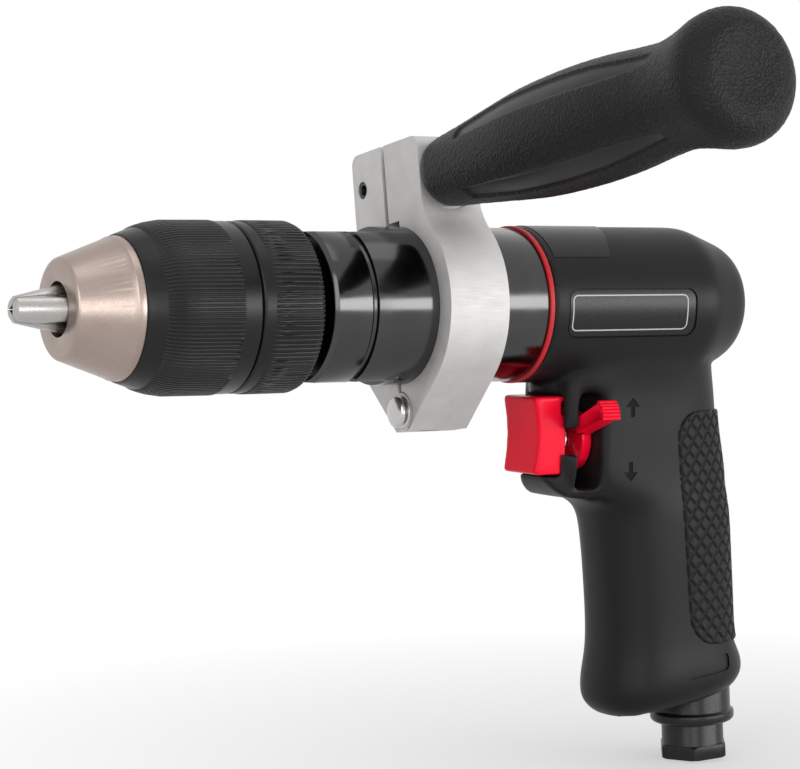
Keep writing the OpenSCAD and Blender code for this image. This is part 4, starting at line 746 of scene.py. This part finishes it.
def pad_base():
    """The smooth pad as a closed skin over the grip, with the attributes that the diamonds need."""
    x_top, x_mid, z_top, z_bottom, corner, rim_r = -174.9, -187.0, -29.2, -93.4, 8.0, 0.9
    lean = math.tan(math.radians(4.2))
    rise, sink, down, across, open_front, far_out = 0.02, 0.6, 200, 236, 40, 45
    angles = np.radians(np.linspace(open_front, 360 - open_front, 220))
    outer, inner, s_grid, z_grid, proud = [], [], [], [], []
    for z in np.linspace(z_top, z_bottom, down):
        ring = []
        for a in angles:
            way = Vector((math.cos(a), math.sin(a), 0))
            hit = shell_skin.ray_cast((Vector((x_mid, 0, z)) + way * far_out) * MM, -way)[0]
            ring.append((hit.x / MM, hit.y / MM))
        ring = np.array(ring)
        from_end = min(z_top - z, z - z_bottom)
        over = max(0, corner - from_end)
        x_edge = x_top - (z_top - z) * lean - (corner - math.sqrt(max(0, corner ** 2 - over ** 2)))
        inside = np.flatnonzero(ring[:, 0] < x_edge)
        start, stop = inside[0], inside[-1]
        first, last = (ring[i] + (ring[k] - ring[i]) * (x_edge - ring[i][0]) / (ring[k][0] - ring[i][0])
                       for i, k in ((start - 1, start), (stop, stop + 1)))
        keep = np.vstack([first, ring[start:stop + 1], last])
        walked = np.concatenate(([0], np.cumsum(np.hypot(*np.diff(keep, axis=0).T))))
        even = np.linspace(0, walked[-1], across)
        x, y = np.interp(even, walked, keep[:, 0]), np.interp(even, walked, keep[:, 1])
        tx, ty = np.gradient(x), np.gradient(y)
        size = np.hypot(tx, ty)
        nx, ny = -ty / size, tx / size
        if nx[across // 2] > 0:
            nx, ny = -nx, -ny
        side = np.minimum(even, walked[-1] - even)
        rim = np.minimum(side, from_end)
        outer.append([(a + rise * n, b + rise * m, z) for a, b, n, m in zip(x, y, nx, ny)])
        inner.append([(a - sink * n, b - sink * m, z) for a, b, n, m in zip(x, y, nx, ny)])
        s_grid.append(even - walked[-1] / 2)
        z_grid.append(np.full(across, z))
        proud.append(np.sqrt(np.clip(1 - (1 - np.clip(rim / rim_r, 0, 1)) ** 2, 0, 1)))
    mesh = slab("pad_rubber", outer, inner)
    for label, grid in (("across", s_grid), ("down", z_grid), ("proud", proud)):
        values = np.concatenate([np.concatenate(grid), np.zeros(down * across)])
        mesh.attributes.new(label, "FLOAT", "POINT").data.foreach_set("value", values.astype(np.float32))
    return mesh


def diamond_tree():
    """Raised diamonds on a skin: grooves along two slanting families of lines."""
    graph, ask = new_tree("diamonds", ("Cell Width", "Float"), ("Cell Height", "Float"), ("Groove", "Float"),
                          ("Height", "Float"))
    floor_half, floor_share, middle_at = 0.12, 0.25, 1000.5
    wide, tall = ask["Cell Width"], ask["Cell Height"]
    across, down, proud = (graph.node("GeometryNodeInputNamedAttribute", {"data_type": "FLOAT"}, {
        "Name": label}) for label in ("across", "down", "proud"))
    p, q = across / wide, down / tall
    near = graph.math("MINIMUM", *(graph.math("ABSOLUTE", graph.math("FRACT", side + middle_at) - 0.5)
                                   for side in (p + q, p - q)))
    steep = graph.math("SQRT", 1 / (wide * wide) + 1 / (tall * tall))
    up = graph.span(near / steep, floor_half, ask["Groove"], floor_share, 1.0, soft=True)
    offset = graph.node("ShaderNodeVectorMath", {"operation": "SCALE"}, {
        0: graph.node("GeometryNodeInputNormal"), "Scale": up * proud * ask["Height"]})
    moved = graph.node("GeometryNodeSetPosition", None, {"Geometry": ask["Base"], "Offset": offset})
    return close_tree(graph, moved, ask["Finish"])


pad = grown("pad_rubber", diamond_tree(), pad_base(), Cell_Width=4.3, Cell_Height=5.0, Groove=0.55,
            Height=0.8 * MM, Finish=grip_rubber.material)
new_piece("pad_rubber", pad, None, "housing", ("grip_pad",), sharp=70)

# Trigger: glossy red plastic, hollow behind, with a concave finger face. It slides with the valve stem
# against a steel spring.
trigger_red = Finish("trigger_red")
trigger_red.set(Base_Color=(0.90, 0.004, 0.030), Specular_IOR_Level=0.11,
                Roughness=trigger_red.span(trigger_red.grain(5.0), 0.3, 0.7, 0.16, 0.23))
crisp_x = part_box("trigger")[0].x / MM + 2.5


def trigger_rear(spot):
    """Edges that stay crisp: those at the back and inside the trigger."""
    return spot.x < crisp_x


cap = flowing(merged("trigger"), voxel=0.32, least=9, most=13, hold=trigger_rear, reach=(0.6, 2.0))
new_piece("trigger_shell", cap, trigger_red.material, "trigger", ("trigger",), sharp=50)

# Trigger spring: bright spring wire wound in an open coil between the trigger and the lever hub. It
# shortens by the trigger's travel.


def coil_tree():
    """A wire wound along X from a start place."""
    graph, ask = new_tree("coil", ("Turns", "Float"), ("Radius", "Float"), ("Length", "Float"),
                          ("Wire", "Float"), ("Start", "Vector"))
    line = graph.node("GeometryNodeCurveSpiral", None, {
        "Resolution": 24, "Rotations": ask["Turns"], "Start Radius": ask["Radius"],
        "End Radius": ask["Radius"], "Height": ask["Length"]})
    circle = graph.node("GeometryNodeCurvePrimitiveCircle", None, {
        "Resolution": 10, "Radius": ask["Wire"] / 2})
    coil = graph.node("GeometryNodeCurveToMesh", None, {
        "Curve": line, "Profile Curve": circle, "Fill Caps": True})
    laid = graph.node("GeometryNodeTransform", None, {
        "Geometry": coil, "Rotation": (0, math.pi / 2, 0), "Translation": ask["Start"]})
    return close_tree(graph, laid, ask["Finish"])


low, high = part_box("trigger_spring")
wire = 0.8 * MM
coil = grown("spring_wire", coil_tree(), bpy.data.meshes.new("spring_wire"), Turns=4.5,
             Radius=(high.y - low.y) / 2 - wire / 2, Length=high.x - low.x - wire, Wire=wire,
             Start=(low.x + wire / 2, 0, (low.z + high.z) / 2), Finish=bright_steel.material)
spring = new_piece("spring_wire", coil, None, "trigger", ("trigger_spring",), sharp=60)
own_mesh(spring)

# Reverse lever: red plastic, keyed to the reverse valve behind the trigger. Its arm stands out of a
# slot in the grip and spreads out to a ridged knob.
eased("lever_red", "reverse_lever", trigger_red.material, "reverse_lever", 0.25)

# Air inlet: a satin black exhaust collar with a rolled rim, and a blackened steel bushing with a
# chamfered hex and a threaded hole for the hose fitting.
inlet_black = Finish("inlet_black")
inlet_black.set(Base_Color=(0.016, 0.016, 0.017), Metallic=0.5, Specular_IOR_Level=0.4,
                Roughness=inlet_black.span(inlet_black.grain(0.3), 0.3, 0.7, 0.26, 0.40))
eased("collar_black", "exhaust_collar", inlet_black.material, "housing", 0.35)
eased("bushing_black", "inlet_bushing", inlet_black.material, "housing", 0.2)

# Inside pieces: gears, motor and valve, each in the finish of its own metal, resin or rubber. Most are
# turned or ground steel, pressed or slid into the case and the housing.
inner = {"valve_brass": ((0.55, 0.40, 0.16), 1.0, 0.3), "sinter_bronze": ((0.38, 0.22, 0.10), 1.0, 0.5),
         "vane_resin": ((0.10, 0.05, 0.03), 0.0, 0.5), "poppet_rubber": ((0.02, 0.02, 0.02), 0.0, 0.6)}
finishes = {"bright_steel": bright_steel.material, "dark_steel": dark_steel.material}
for name, (colour, metallic, roughness) in inner.items():
    finish = Finish(name)
    finish.set(Base_Color=colour, Metallic=metallic,
               Roughness=finish.span(finish.grain(0.4), 0.3, 0.7, roughness - 0.06, roughness + 0.06))
    finishes[name] = finish.material
special = {"split_nut": "bright_steel", "valve_seat": "valve_brass", "reverse_valve": "valve_brass",
           "handle_insert": "valve_brass", "silencer": "sinter_bronze", "vanes": "vane_resin",
           "poppet_seal": "poppet_rubber", "spindle": "dark_steel", "rotor": "dark_steel",
           "first_carrier": "dark_steel", "chuck_screw": "dark_steel", "output_planet_pins": "dark_steel",
           "first_planet_pins": "dark_steel"}
for name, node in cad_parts.items():
    if not node.hide_render:
        node.data.materials.clear()
        node.data.materials.append(finishes[special.get(name, "bright_steel")])

# Studio: a pale floor under the inlet, soft light from the left, the front and above, and a white
# background. The floor turns white away from the drill, for the camera and in reflections only.
low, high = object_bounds()
floor_mesh = bpy.data.meshes.new("floor")
side, floor_z = 3.0, low.z - 0.5 * MM
floor_mesh.from_pydata([(x * side, y * side, floor_z) for x, y in ((-1, -1), (1, -1), (1, 1), (-1, 1))],
                       [], [(0, 1, 2, 3)])
floor = bpy.data.objects.new("floor", floor_mesh)
bpy.context.scene.collection.objects.link(floor)


def seen_rays(graph):
    """1 for rays from the camera and for reflected and refracted ones, 0 for other light."""
    camera, glossy, through = (graph.node("ShaderNodeLightPath", None, None, label) for label in (
        "Is Camera Ray", "Is Glossy Ray", "Is Transmission Ray"))
    return graph.math("MAXIMUM", camera, graph.math("MAXIMUM", glossy, through))


pale = Finish("pale_floor")
pale.set(Base_Color=(0.84, 0.84, 0.84), Roughness=0.9, Specular_IOR_Level=0.0)
under_grip, fade_r, least_white = (-0.19, 0, floor_z), 0.25, 0.5
away = pale.node("ShaderNodeVectorMath", {"operation": "DISTANCE"}, {0: pale.place, 1: under_grip}, 1)
white = pale.node("ShaderNodeEmission", None, {"Color": (1, 1, 1, 1), "Strength": 1.0})
shade = pale.node("ShaderNodeMixShader", None, {
    0: seen_rays(pale) * pale.span(away, 0.0, fade_r, least_white, 1.0),
    1: Wire(pale, pale.shader.outputs[0]), 2: white})
pale.tree.links.new(shade.socket, pale.tree.nodes["Material Output"].inputs[0])
floor_mesh.materials.append(pale.material)

world = bpy.data.worlds.new("studio")
bpy.context.scene.world = world
world.use_nodes = True
sky = Graph(world.node_tree)
background = world.node_tree.nodes["Background"]
background.inputs["Color"].default_value = (1, 1, 1, 1)
fill_light = 0.35
strength = seen_rays(sky) * (1 - fill_light) + fill_light
world.node_tree.links.new(strength.socket, background.inputs["Strength"])


def soft_light(name, place, target, width, height, power):
    """A large lamp that the camera doesn't see."""
    lamp = bpy.data.lights.new(name, "AREA")
    lamp.shape = "RECTANGLE"
    lamp.size = width
    lamp.size_y = height
    lamp.energy = power
    light = bpy.data.objects.new(name, lamp)
    light.location = place
    light.rotation_euler = (Vector(target) - Vector(place)).to_track_quat("-Z", "Y").to_euler()
    light.visible_camera = False
    bpy.context.scene.collection.objects.link(light)


middle = (low + high) / 2
soft_light("side_strip", middle + Vector((-0.62, 0.92, 0.10)), middle, width=1.2, height=0.30, power=8)
soft_light("camera_box", middle + Vector((0.52, 1.02, 0.12)), middle, width=0.45, height=0.45, power=2.4)
soft_light("front_box", middle + Vector((1.0, 0.6, 0.35)), middle, width=0.5, height=0.8, power=3.5)
soft_light("top_box", middle + Vector((0.0, 0.1, 1.1)), middle, width=0.9, height=0.6, power=1.5)

# Camera: placed as in the photo, left of the drill and a little in front of it, at spindle height.
# The lens takes in the same frame.
camera = bpy.data.objects.new("camera", bpy.data.cameras.new("camera"))
across = Vector((-0.85677, 0.51571, 0))
upward = Vector((-0.02502, -0.04157, 0.99882))
backward = Vector((0.5151, 0.8557, 0.0485))
turned = Matrix((across, upward, backward)).transposed().to_4x4()
place = Vector((239.9, 557.7, 11.19))
camera.matrix_world = Matrix.Translation(place * MM) @ turned
camera.data.lens = 113.05
camera.data.sensor_width = 36
camera.data.sensor_fit = "HORIZONTAL"
bpy.context.scene.collection.objects.link(camera)
bpy.context.scene.camera = camera
bpy.context.scene.view_settings.view_transform = "Standard"
